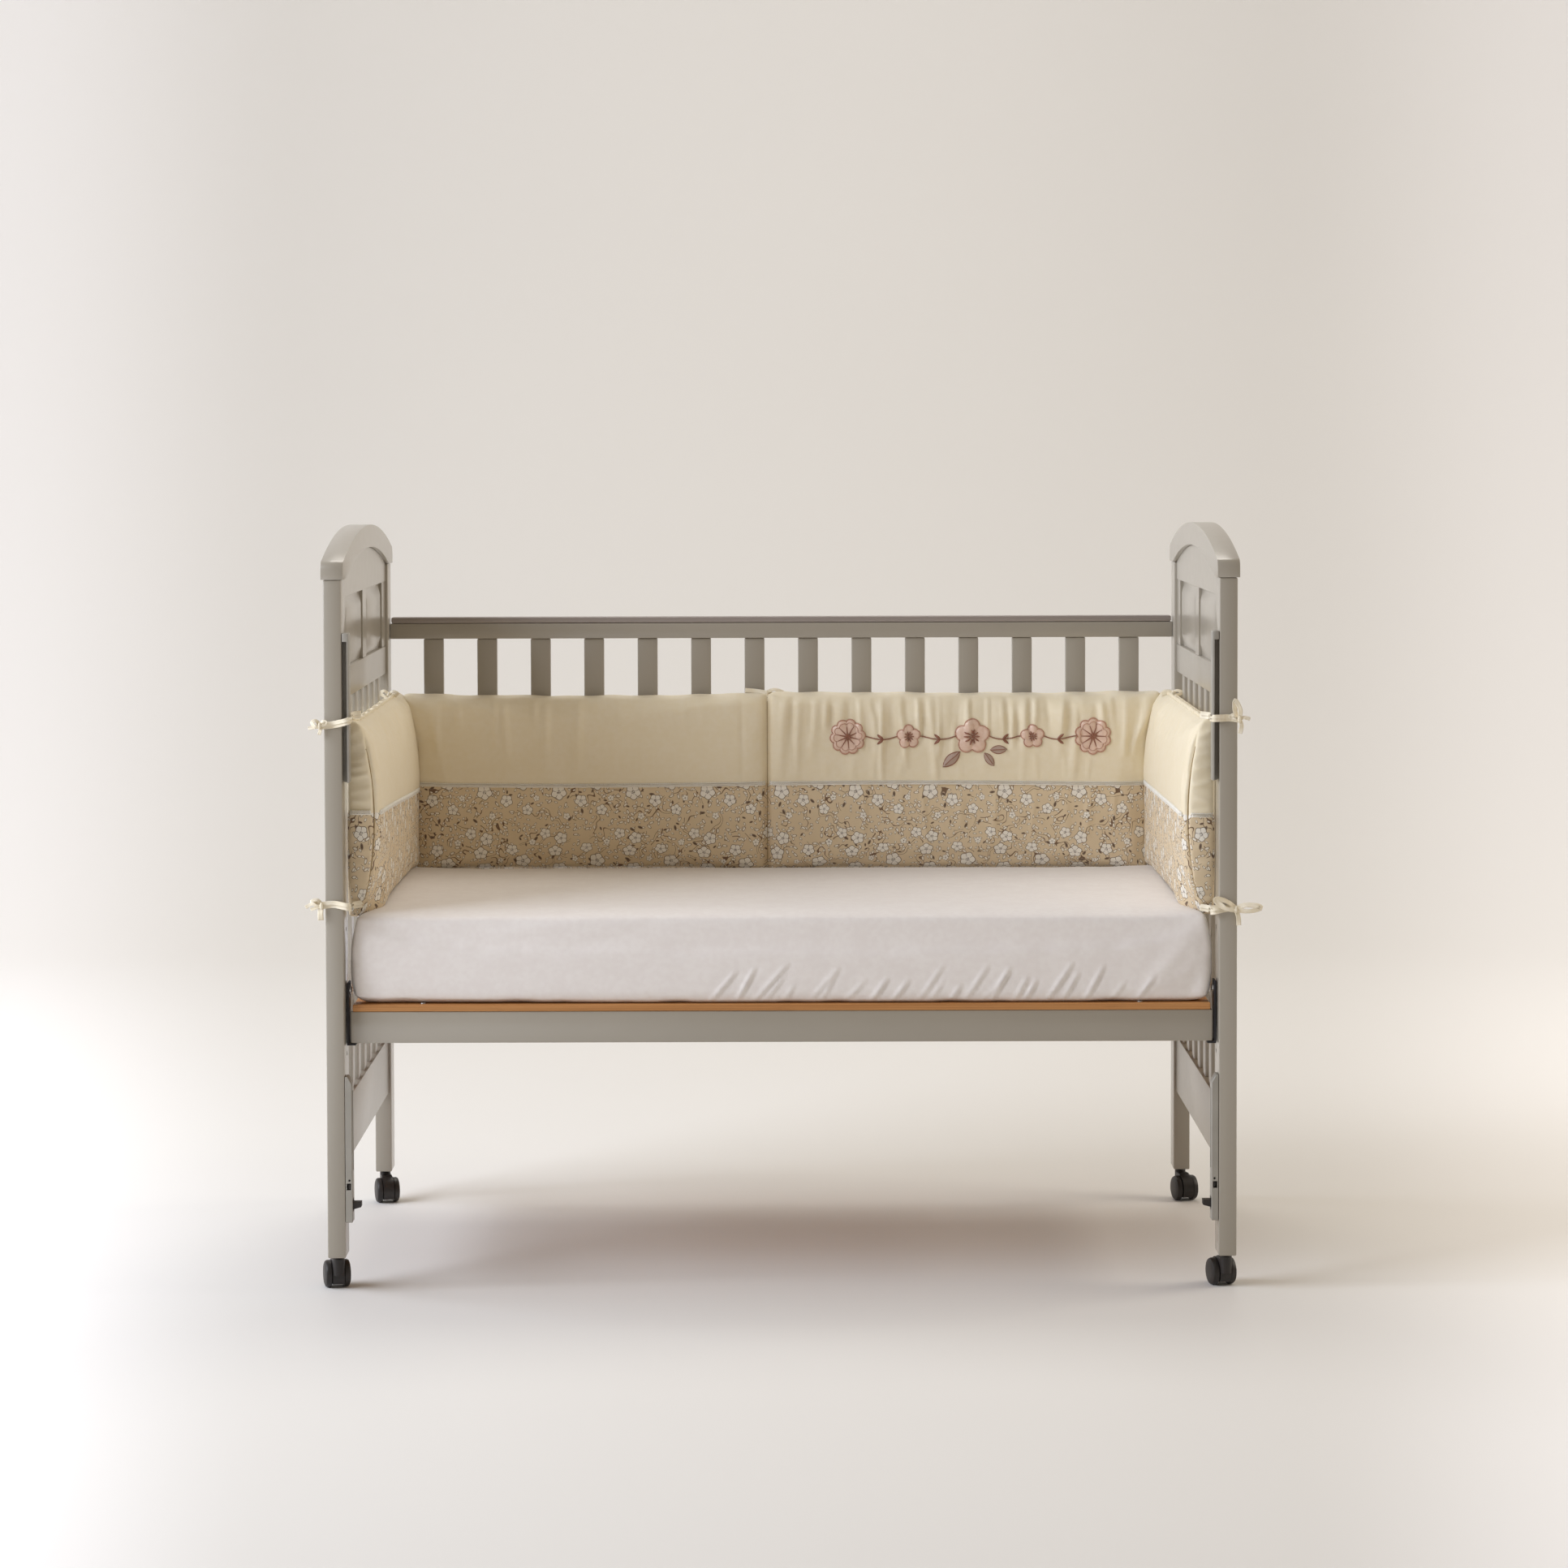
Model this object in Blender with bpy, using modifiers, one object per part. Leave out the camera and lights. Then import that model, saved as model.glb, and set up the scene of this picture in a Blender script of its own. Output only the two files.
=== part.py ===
"""Baby cot with slatted ends and an open front, on four swivel casters.

The frame is painted wood: two arched ends, a slatted back and a slatted base board that
hangs from four steel straps. The front side is off, so only its tracks and its two
release levers remain. A mattress and a three-part padded bumper lie inside.

Axes: +X runs along the cot's length, +Y to its back, +Z up. The origin is on the floor
under the middle of the cot.
"""
import bpy
import bmesh
from math import atan2, cos, pi, radians, sin, tan
from mathutils import Matrix, Vector

# ---------------------------------------------------------------- driving dimensions (metres)
GAP = 0.0003                  # air left between pieces that touch

POST_WIDTH = 0.025            # along X
POST_DEPTH = 0.045            # along Y
POST_BOTTOM = 0.048
POST_TOP = 0.9925
OUTER_LENGTH = 1.264          # over the posts
OUTER_DEPTH = 0.660           # over the posts

CAP_WIDTH = 0.031             # the arched cap overhangs the post on both sides
CAP_OVERHANG_Y = 0.0015
CAP_END_TOP = 1.0163          # where the cap's straight end meets the arc
CAP_APEX = 1.0603
CAP_INNER_APEX = 1.0275
CAP_SHOULDER_RADIUS = 0.014

RAIL_THICKNESS = 0.018
ARCH_BOARD_BOTTOM = 0.966
INSERT_THICKNESS = 0.016
INSERT_STILE = 0.045
PANEL_DEPTH = 0.005           # how deep the panels' pockets are cut
FIELD_HEIGHT = 0.0045         # height of a raised field over its pocket's floor
FIELD_BEVEL = 0.018           # width of the sloping border of a raised field
MID_RAIL = (0.823, 0.866)
LOWER_RAIL = (0.1715, 0.2575)

END_SLATS = 7
END_SLAT_WIDTH = 0.030
END_SLAT_THICKNESS = 0.010

BACK_SLATS = 14
BACK_SLAT_WIDTH = 0.031
BACK_SLAT_THICKNESS = 0.012
BACK_TOP_RAIL = (0.875, 0.8987)
BACK_STRIP_TOP = 0.9085
BACK_BOTTOM_RAIL = (0.262, 0.320)

BASE_RAIL = (0.3459, 0.3900)
BASE_RAIL_HALF = 0.600
BOARD_THICKNESS = 0.0093
BOARD_HALF = 0.597

HANGER_X = 0.6055             # the strap's face beside the post
HANGER_STRAP = 0.003
HANGER_WIDTH = 0.028
HANGER_TOP = 0.430
HANGER_LIP = 0.0095
BOLT_Z = 0.4190
BOLT_RADIUS = 0.003
SPARE_HOLES = (0.330, 0.504)  # the base board's other two heights

TRACK_WIDTH = 0.0097          # how far a track stands off its post
UPPER_TRACK = (0.711, 0.919)
LOWER_TRACK = (0.098, 0.302)
TRACK_DEPTH = 0.022
FLANGE = 0.003

LEVER_PIVOT_Z = 0.157
LEVER_TAB = (0.118, 0.126)
LEVER_REACH = 0.0115          # how far the tab stands off the track

MATTRESS_HALF = 0.598
MATTRESS_DEPTH = 0.600
MATTRESS_HEIGHT = 0.1215

BUMPER_THICKNESS = 0.040
BUMPER_BOTTOM = 0.5235
BUMPER_TOP = 0.790

WHEEL_RADIUS = 0.019
WHEEL_WIDTH = 0.0095
HOOD_WIDTH = 0.0165
HOOD_TOP = 0.0435
TRAIL = 0.018
CASTER_YAW = radians(15)
STEM_RADIUS = 0.004
STEM_TOP = 0.080
AXLE_RADIUS = 0.003

# ---------------------------------------------------------------- derived places
POST_X = (OUTER_LENGTH - POST_WIDTH) / 2
POST_INNER = OUTER_LENGTH / 2 - POST_WIDTH
POST_Y = (OUTER_DEPTH - POST_DEPTH) / 2
BAY = OUTER_DEPTH / 2 - POST_DEPTH          # half the clear depth between two posts of an end
FRONT = -OUTER_DEPTH / 2
BACK = OUTER_DEPTH / 2
BASE_TOP = BASE_RAIL[1] + GAP + BOARD_THICKNESS
MATTRESS_FRONT = FRONT + 0.020

SIDES = {"left": -1, "right": 1}
ROWS = {"front": -1, "back": 1}

AXIS_X = Matrix(((0, 0, 1), (1, 0, 0), (0, 1, 0))).to_4x4()    # outline drawn in YZ, extruded along X
AXIS_Y = Matrix(((1, 0, 0), (0, 0, -1), (0, 1, 0))).to_4x4()   # outline drawn in XZ, extruded along Y


# ---------------------------------------------------------------- helpers
def clear_scene():
    for item in list(bpy.data.objects):
        bpy.data.objects.remove(item)


def new_collection(name):
    collection = bpy.data.collections.new(name)
    bpy.context.scene.collection.children.link(collection)
    return collection


def paint(name, colour, roughness, metallic=0.0):
    material = bpy.data.materials.new(name)
    material.use_nodes = True
    shader = material.node_tree.nodes["Principled BSDF"]
    shader.inputs["Base Color"].default_value = (*colour, 1)
    shader.inputs["Roughness"].default_value = roughness
    shader.inputs["Metallic"].default_value = metallic
    return material


def add_object(name, mesh, matrix=Matrix(), material=None, collection=None):
    thing = bpy.data.objects.new(name, mesh)
    thing.matrix_world = matrix
    if material and not mesh.materials:
        mesh.materials.append(material)
    (collection or PARTS).objects.link(thing)
    return thing


def mesh_from(name, build):
    """A mesh made by a function that fills an empty bmesh."""
    shape = bmesh.new()
    build(shape)
    bmesh.ops.recalc_face_normals(shape, faces=shape.faces)
    mesh = bpy.data.meshes.new(name)
    shape.to_mesh(mesh)
    shape.free()
    return mesh


def round_edges(thing, width, segments=2, limit=radians(40)):
    bevel = thing.modifiers.new("rounded_edges", "BEVEL")
    bevel.width = width
    bevel.segments = segments
    bevel.limit_method = "ANGLE"
    bevel.angle_limit = limit
    return thing


def box(name, spans, material, edge=0.0, segments=2, collection=None):
    """A box over three (low, high) spans, with its origin in its middle."""
    size = Vector([abs(high - low) for low, high in spans])
    centre = Vector([(low + high) / 2 for low, high in spans])

    def build(shape):
        bmesh.ops.create_cube(shape, size=1)
        bmesh.ops.scale(shape, vec=size, verts=shape.verts)

    thing = add_object(name, mesh_from(name, build), Matrix.Translation(centre), material, collection)
    if edge:
        round_edges(thing, edge, segments)
    return thing


def rod(name, radius, start, end, material=None, collection=None, segments=16):
    """A round bar from start to end."""
    axis = Vector(end) - Vector(start)
    middle = (Vector(start) + Vector(end)) / 2
    turn = axis.to_track_quat("Z", "Y").to_matrix().to_4x4()

    def build(shape):
        bmesh.ops.create_cone(shape, cap_ends=True, segments=segments,
                              radius1=radius, radius2=radius, depth=axis.length)

    mesh = mesh_from(name, build)
    mesh.shade_smooth()
    mesh.set_sharp_from_angle(angle=radians(40))
    return add_object(name, mesh, Matrix.Translation(middle) @ turn, material, collection)


def outline_solid(name, points, thickness, matrix, material=None, collection=None):
    """A closed flat outline with a thickness, as a welded mesh."""
    curve = bpy.data.curves.new(name, "CURVE")
    curve.dimensions = "2D"
    curve.fill_mode = "BOTH"
    curve.extrude = thickness / 2
    spline = curve.splines.new("POLY")
    spline.points.add(len(points) - 1)
    for point, (across, up) in zip(spline.points, points):
        point.co = (across, up, 0, 1)
    spline.use_cyclic_u = True
    drawn = bpy.data.objects.new(name + "_outline", curve)
    PARTS.objects.link(drawn)
    graph = bpy.context.evaluated_depsgraph_get()
    mesh = bpy.data.meshes.new_from_object(drawn.evaluated_get(graph))
    bpy.data.objects.remove(drawn)
    shape = bmesh.new()
    shape.from_mesh(mesh)
    bmesh.ops.remove_doubles(shape, verts=shape.verts, dist=0.00001)
    bmesh.ops.recalc_face_normals(shape, faces=shape.faces)
    shape.to_mesh(mesh)
    shape.free()
    mesh.materials.clear()
    return add_object(name, mesh, matrix, material, collection)


def turned(name, profile, matrix, material, steps=24):
    """A turned piece: (radius, height) points from its top to its bottom, spun about local Z."""
    mesh = bpy.data.meshes.new(name)
    edges = [(index, index + 1) for index in range(len(profile) - 1)]
    mesh.from_pydata([(radius, 0, height) for radius, height in profile], edges, [])
    thing = add_object(name, mesh, matrix, material)
    screw = thing.modifiers.new("turned", "SCREW")
    screw.steps = steps
    screw.render_steps = steps
    screw.use_merge_vertices = True
    screw.merge_threshold = 0.00001
    screw.use_smooth_shade = True
    return thing


def combine(thing, other, operation):
    """Cut the other object away from this one, or join it on."""
    if other.name in PARTS.objects:
        PARTS.objects.unlink(other)
        CUTTERS.objects.link(other)
    other.hide_render = True
    other.display_type = "WIRE"
    boolean = thing.modifiers.new(other.name, "BOOLEAN")
    boolean.operation = operation
    boolean.object = other
    return thing


def cut(thing, other):
    return combine(thing, other, "DIFFERENCE")


def join(thing, other):
    return combine(thing, other, "UNION")


def finished_mesh(thing):
    """The object's shape with all of its modifiers, as a mesh that copies can share."""
    graph = bpy.context.evaluated_depsgraph_get()
    mesh = bpy.data.meshes.new_from_object(thing.evaluated_get(graph))
    mesh.transform(thing.matrix_world)
    for modifier in thing.modifiers:
        if modifier.type == "BOOLEAN":
            bpy.data.objects.remove(modifier.object)
    bpy.data.objects.remove(thing)
    return mesh


def across(side, inner, outer):
    """A span along X on the left (-1) or right (+1), given as distances from the middle."""
    return tuple(sorted((side * inner, side * outer)))


def arc(half_width, low, high, steps):
    """Points of a shallow arc in YZ from -half_width to +half_width, rising from low to high."""
    rise = high - low
    radius = (half_width ** 2 + rise ** 2) / (2 * rise)
    reach = atan2(half_width, radius - rise)
    angles = [reach * (2 * step / steps - 1) for step in range(steps + 1)]
    return [(radius * sin(angle), high - radius + radius * cos(angle)) for angle in angles]


def rounded_corner(before, corner, after, radius, steps=5):
    """Points of the arc that rounds a corner of an outline."""
    into = (Vector(before) - Vector(corner)).normalized()
    out = (Vector(after) - Vector(corner)).normalized()
    half_angle = into.angle(out) / 2
    setback = radius / tan(half_angle)
    centre = Vector(corner) + (into + out).normalized() * radius / sin(half_angle)
    start = (Vector(corner) + into * setback - centre).normalized()
    end = (Vector(corner) + out * setback - centre).normalized()
    return [tuple(centre + start.slerp(end, step / steps) * radius) for step in range(steps + 1)]


# ---------------------------------------------------------------- wooden ends
def make_posts():
    """Four legs with a bore for the caster's stem and blind holes for three base heights."""
    for row, toward in ROWS.items():
        for side_name, side in SIDES.items():
            name = f"post_{row}_{side_name}"
            spans = (across(side, POST_INNER, OUTER_LENGTH / 2),
                     across(toward, OUTER_DEPTH / 2 - POST_DEPTH, OUTER_DEPTH / 2),
                     (POST_BOTTOM, POST_TOP))
            post = box(name, spans, WOOD_PAINT, edge=0.002)
            stem = (side * POST_X, toward * POST_Y)
            cut(post, rod(name + "_stem_bore", STEM_RADIUS + 0.0004,
                          (*stem, POST_BOTTOM - 0.01), (*stem, STEM_TOP + 0.002)))
            for height in (*SPARE_HOLES, BOLT_Z):
                hole_y = toward * hanger_distance()
                cut(post, rod(f"{name}_hole", BOLT_RADIUS + 0.0004,
                              (side * (POST_INNER - 0.01), hole_y, height),
                              (side * (POST_INNER + 0.017), hole_y, height)))


def hanger_distance():
    """How far a hanger strap's middle is from the cot's middle, along Y."""
    return OUTER_DEPTH / 2 - 0.034


def make_arch_caps():
    """The arched caps that join the two posts of each end."""
    half = OUTER_DEPTH / 2 + CAP_OVERHANG_Y
    outer = arc(half, CAP_END_TOP, CAP_APEX, 26)
    inner = arc(BAY, POST_TOP + GAP, CAP_INNER_APEX, 20)
    front_end = (-half, POST_TOP + GAP)
    back_end = (half, POST_TOP + GAP)
    front_shoulder = rounded_corner(front_end, outer[0], outer[2], CAP_SHOULDER_RADIUS)
    back_shoulder = rounded_corner(outer[-3], outer[-1], back_end, CAP_SHOULDER_RADIUS)
    outline = [front_end, *front_shoulder, *outer[2:-2], *back_shoulder, back_end, *reversed(inner)]
    for side_name, side in SIDES.items():
        place = Matrix.Translation((side * POST_X, 0, 0)) @ AXIS_X
        cap = outline_solid(f"arch_cap_{side_name}", outline, CAP_WIDTH, place, WOOD_PAINT)
        round_edges(cap, 0.0028, limit=radians(60))


def make_arch_boards():
    """The boards that fill the arches, set back from the posts' faces."""
    top = [(y, z - GAP) for y, z in arc(BAY, POST_TOP + GAP, CAP_INNER_APEX, 20)]
    top[0] = (-BAY + GAP, top[0][1])
    top[-1] = (BAY - GAP, top[-1][1])
    outline = [*top, (BAY - GAP, ARCH_BOARD_BOTTOM), (-BAY + GAP, ARCH_BOARD_BOTTOM)]
    for side_name, side in SIDES.items():
        place = Matrix.Translation((side * POST_X, 0, 0)) @ AXIS_X
        board = outline_solid(f"arch_board_{side_name}", outline, RAIL_THICKNESS, place, WOOD_PAINT)
        round_edges(board, 0.0006, segments=1, limit=radians(60))


def raised_field(name, middle, width, height, side, collection):
    """The sloping raised panel that stands in one pocket of an insert."""
    root = 0.001

    def build(shape):
        bmesh.ops.create_cube(shape, size=1)
        for corner in shape.verts:
            inset = FIELD_BEVEL if corner.co.x > 0 else 0.0
            corner.co.y *= width - 2 * inset
            corner.co.z *= height - 2 * inset
            corner.co.x = FIELD_HEIGHT if corner.co.x > 0 else -root
            corner.co.x *= side

    return add_object(name, mesh_from(name, build), Matrix.Translation(middle), collection=collection)


def make_panel_inserts():
    """Routed boards with two raised panels a side, between the arch board and the middle rail."""
    low = MID_RAIL[1] + GAP
    high = ARCH_BOARD_BOTTOM - GAP
    half_thickness = INSERT_THICKNESS / 2
    opening = BAY - 1.5 * INSERT_STILE
    for side_name, side in SIDES.items():
        name = f"panel_insert_{side_name}"
        spans = (across(side, POST_X - half_thickness, POST_X + half_thickness),
                 (-BAY + GAP, BAY - GAP), (low, high))
        insert = box(name, spans, WOOD_PAINT)
        for row, toward in ROWS.items():
            middle_y = toward * (INSERT_STILE + opening) / 2
            for face, facing in (("inner", -side), ("outer", side)):
                surface = side * POST_X + facing * half_thickness
                floor = surface - facing * PANEL_DEPTH
                label = f"{name}_{row}_{face}"
                pocket_x = tuple(sorted((floor, surface + facing * 0.01)))
                pocket_y = (middle_y - opening / 2, middle_y + opening / 2)
                cut(insert, box(label + "_pocket", (pocket_x, pocket_y, (low - 0.01, high + 0.01)), None,
                                collection=CUTTERS))
                field = raised_field(label + "_field", (floor, middle_y, (low + high) / 2),
                                     opening - 0.001, high - low, facing, CUTTERS)
                join(insert, field)


def make_mid_rails():
    for side_name, side in SIDES.items():
        half = RAIL_THICKNESS / 2
        spans = (across(side, POST_X - half, POST_X + half), (-BAY + GAP, BAY - GAP), MID_RAIL)
        box(f"mid_rail_{side_name}", spans, WOOD_PAINT, edge=0.0012)


def make_end_grilles():
    """The lower rail of each end with its seven slats standing on it."""
    half = RAIL_THICKNESS / 2
    pitch = (2 * BAY - END_SLATS * END_SLAT_WIDTH) / (END_SLATS + 1) + END_SLAT_WIDTH
    for side_name, side in SIDES.items():
        name = f"end_grille_{side_name}"
        spans = (across(side, POST_X - half, POST_X + half), (-BAY + GAP, BAY - GAP), LOWER_RAIL)
        grille = box(name, spans, WOOD_PAINT, edge=0.0012)
        for index in range(END_SLATS):
            middle = (index - (END_SLATS - 1) / 2) * pitch
            slat_half = END_SLAT_THICKNESS / 2
            slat_spans = (across(side, POST_X - slat_half, POST_X + slat_half),
                          (middle - END_SLAT_WIDTH / 2, middle + END_SLAT_WIDTH / 2),
                          (LOWER_RAIL[1] - 0.010, MID_RAIL[0] - GAP))
            join(grille, box(f"{name}_slat_{index + 1}", slat_spans, None, edge=0.002,
                             collection=CUTTERS))


# ---------------------------------------------------------------- back side
def make_back():
    """The slatted back between the two back posts."""
    half_length = POST_INNER - GAP
    rail_y = (BACK - RAIL_THICKNESS - 0.0005, BACK - 0.0005)
    strip_y = (rail_y[0] - 0.001, rail_y[1])
    box("back_top_rail", ((-half_length, half_length), rail_y, BACK_TOP_RAIL), WOOD_PAINT, edge=0.0012)
    box("back_top_strip", ((-half_length + 0.002, half_length - 0.002), strip_y,
                           (BACK_TOP_RAIL[1] + GAP, BACK_STRIP_TOP)), STRIP_PAINT, edge=0.0025)
    box("back_bottom_rail", ((-half_length, half_length), rail_y, BACK_BOTTOM_RAIL), WOOD_PAINT,
        edge=0.0012)
    pitch = (2 * POST_INNER - BACK_SLATS * BACK_SLAT_WIDTH) / (BACK_SLATS + 1) + BACK_SLAT_WIDTH
    slat_y = (sum(rail_y) / 2 - BACK_SLAT_THICKNESS / 2, sum(rail_y) / 2 + BACK_SLAT_THICKNESS / 2)
    for index in range(BACK_SLATS):
        middle = (index - (BACK_SLATS - 1) / 2) * pitch
        box(f"back_slat_{index + 1:02d}",
            ((middle - BACK_SLAT_WIDTH / 2, middle + BACK_SLAT_WIDTH / 2), slat_y,
             (BACK_BOTTOM_RAIL[1] + GAP, BACK_TOP_RAIL[0] - GAP)), WOOD_PAINT, edge=0.002)


# ---------------------------------------------------------------- mattress base
def base_rail_y(toward):
    """The span along Y of the base's front (-1) or back (+1) rail."""
    return across(toward, OUTER_DEPTH / 2 - 0.038, OUTER_DEPTH / 2 - 0.020)


def make_base():
    """A plywood board on two long rails."""
    for row, toward in ROWS.items():
        box(f"base_rail_{row}", ((-BASE_RAIL_HALF, BASE_RAIL_HALF), base_rail_y(toward), BASE_RAIL),
            WOOD_PAINT, edge=0.0015)
    box("base_board", ((-BOARD_HALF, BOARD_HALF), (FRONT + 0.0185, BACK - 0.0195),
                       (BASE_RAIL[1] + GAP, BASE_TOP)), PLYWOOD, edge=0.0008, segments=1)


def make_hangers():
    """Steel straps bolted to the posts, each with a lip that carries a base rail."""
    bottom = BASE_RAIL[0] - GAP - HANGER_STRAP
    inner = HANGER_X - HANGER_STRAP
    lip_end = inner - HANGER_LIP
    outline = [(HANGER_X, HANGER_TOP), (HANGER_X, bottom), (lip_end, bottom),
               (lip_end, bottom + HANGER_STRAP), (inner, bottom + HANGER_STRAP), (inner, HANGER_TOP)]
    for row, toward in ROWS.items():
        for side_name, side in SIDES.items():
            name = f"base_hanger_{row}_{side_name}"
            middle_y = toward * hanger_distance()
            points = [(side * x, z) for x, z in outline]
            place = Matrix.Translation((0, middle_y, 0)) @ AXIS_Y
            hanger = outline_solid(name, points, HANGER_WIDTH, place, BLACK_STEEL)
            round_edges(hanger, 0.0008)
            cut(hanger, rod(name + "_hole", BOLT_RADIUS + 0.0004,
                            (side * (inner - 0.01), middle_y, BOLT_Z),
                            (side * (HANGER_X + 0.01), middle_y, BOLT_Z)))
            make_hanger_bolt(row, side_name, side, middle_y, inner)


def make_hanger_bolt(row, side_name, side, middle_y, strap_face):
    """A button-head bolt through the strap into the post."""
    head = 0.0055
    reach = 0.018
    profile = [(0, 0.0030), (head * 0.55, 0.0028), (head * 0.9, 0.0018), (head, GAP),
               (BOLT_RADIUS, GAP), (BOLT_RADIUS, -reach), (0, -reach)]
    turn = Matrix.Rotation(-side * pi / 2, 4, "Y")
    turned(f"hanger_bolt_{row}_{side_name}", profile,
           Matrix.Translation((side * strap_face, middle_y, BOLT_Z)) @ turn, ZINC, steps=16)


# ---------------------------------------------------------------- tracks and levers of the front side
def track_span(side, near=0.0, far=TRACK_WIDTH):
    """A span along X measured from the post's inner face into the cot."""
    return across(side, POST_INNER - GAP - far, POST_INNER - GAP - near)


def make_upper_tracks():
    """Angle-shaped tracks: a flange in front of a slot that is open at the front and bottom."""
    front = FRONT + 0.0005
    for side_name, side in SIDES.items():
        name = f"upper_track_{side_name}"
        track = box(name, (track_span(side), (front, front + TRACK_DEPTH), UPPER_TRACK), TRACK_PAINT,
                    edge=0.002)
        slot = box(name + "_slot", (track_span(side, -0.01, TRACK_WIDTH - FLANGE),
                                    (front - 0.01, front + TRACK_DEPTH - 0.006),
                                    (UPPER_TRACK[0] - 0.01, UPPER_TRACK[1] - 0.012)), None,
                   collection=CUTTERS)
        cut(track, slot)


def make_lower_tracks():
    """Blocks that guide the front side's pins and house the release levers."""
    front = FRONT + 0.0005
    low, high = LOWER_TRACK
    for side_name, side in SIDES.items():
        name = f"lower_track_{side_name}"
        face = POST_INNER - GAP - TRACK_WIDTH
        outline = [(face, low), (POST_INNER - GAP, low), (POST_INNER - GAP, high),
                   (face + 0.006, high), (face, high - 0.011)]
        points = [(side * x, z) for x, z in outline]
        place = Matrix.Translation((0, front + TRACK_DEPTH / 2, 0)) @ AXIS_Y
        track = outline_solid(name, points, TRACK_DEPTH, place, TRACK_PAINT)
        round_edges(track, 0.0008, segments=1)
        wall = 0.0035
        inside_y = (front + wall, front + TRACK_DEPTH - wall)
        cutters = {
            "guide": (track_span(side, TRACK_WIDTH - 0.003, TRACK_WIDTH + 0.01),
                      (front + 0.007, front + TRACK_DEPTH - 0.007), (0.170, high - 0.020)),
            "pocket": (track_span(side, -0.01, TRACK_WIDTH - 0.002), inside_y, (0.112, 0.164)),
            "tab_window": (track_span(side, 0.004, TRACK_WIDTH + 0.01), inside_y, (0.112, 0.1305)),
            "catch_window": (track_span(side, 0.0015, TRACK_WIDTH - 0.002),
                             (front - 0.01, front + wall + 0.001), (0.1435, 0.1530)),
        }
        for label, spans in cutters.items():
            cut(track, box(f"{name}_{label}", spans, None, collection=CUTTERS))
        cut(track, rod(name + "_pin_hole", 0.0017,
                       (side * lever_pivot_x(), front - 0.01, LEVER_PIVOT_Z),
                       (side * lever_pivot_x(), front + TRACK_DEPTH + 0.01, LEVER_PIVOT_Z), segments=12))


def lever_pivot_x():
    return POST_INNER - GAP - TRACK_WIDTH + 0.0042


def make_release_levers():
    """Levers that hang on a pin in the lower tracks, with a tab and a catch."""
    front = FRONT + 0.0005
    face = POST_INNER - GAP - TRACK_WIDTH
    arm_x = (face + 0.0027, face + 0.0057)
    wall = 0.0035
    arm_y = (front + wall + 0.0006, front + TRACK_DEPTH - wall - 0.0006)
    low, high = LEVER_TAB
    for side_name, side in SIDES.items():
        name = f"release_lever_{side_name}"
        pivot = Vector((side * lever_pivot_x(), front + TRACK_DEPTH / 2, LEVER_PIVOT_Z))
        outline = [(arm_x[1], low - 0.003), (arm_x[1], LEVER_PIVOT_Z + 0.003),
                   (arm_x[0], LEVER_PIVOT_Z + 0.003), (arm_x[0], high), (face - LEVER_REACH, high),
                   (face - LEVER_REACH, low + 0.001), (arm_x[0], low - 0.003)]
        points = [(side * x - pivot.x, z - pivot.z) for x, z in outline]
        place = Matrix.Translation(pivot) @ AXIS_Y
        lever = outline_solid(name, points, arm_y[1] - arm_y[0], place, BLACK_PLASTIC)
        round_edges(lever, 0.0004, segments=1)
        catch_y = (front + 0.0008, arm_y[0] + 0.001)
        join(lever, box(name + "_catch", (across(side, arm_x[0] + 0.0003, arm_x[1] - 0.0003), catch_y,
                                          (0.1455, 0.1515)), None, collection=CUTTERS))
        join(lever, rod(name + "_pin", 0.0012, (pivot.x, front + 0.0004, pivot.z),
                        (pivot.x, front + TRACK_DEPTH - 0.0004, pivot.z), collection=CUTTERS,
                        segments=12))


# ---------------------------------------------------------------- soft pieces
def make_mattress():
    box("mattress", ((-MATTRESS_HALF, MATTRESS_HALF),
                     (MATTRESS_FRONT, MATTRESS_FRONT + MATTRESS_DEPTH),
                     (BASE_TOP + GAP, BASE_TOP + GAP + MATTRESS_HEIGHT)), SHEETING, edge=0.026, segments=3)


def make_bumper():
    """Two padded arms along the ends and a padded length along the back."""
    heights = (BUMPER_BOTTOM, BUMPER_TOP)
    outer = POST_INNER - 0.001
    inner = outer - BUMPER_THICKNESS
    back_face = BACK - RAIL_THICKNESS - 0.0025
    for side_name, side in SIDES.items():
        box(f"bumper_{side_name}", (across(side, inner, outer), (-BAY - 0.004, back_face), heights), PADDING,
            edge=0.014, segments=3)
    box("bumper_back", ((-inner + 0.001, inner - 0.001), (back_face - BUMPER_THICKNESS, back_face), heights),
        PADDING, edge=0.014, segments=3)


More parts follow.
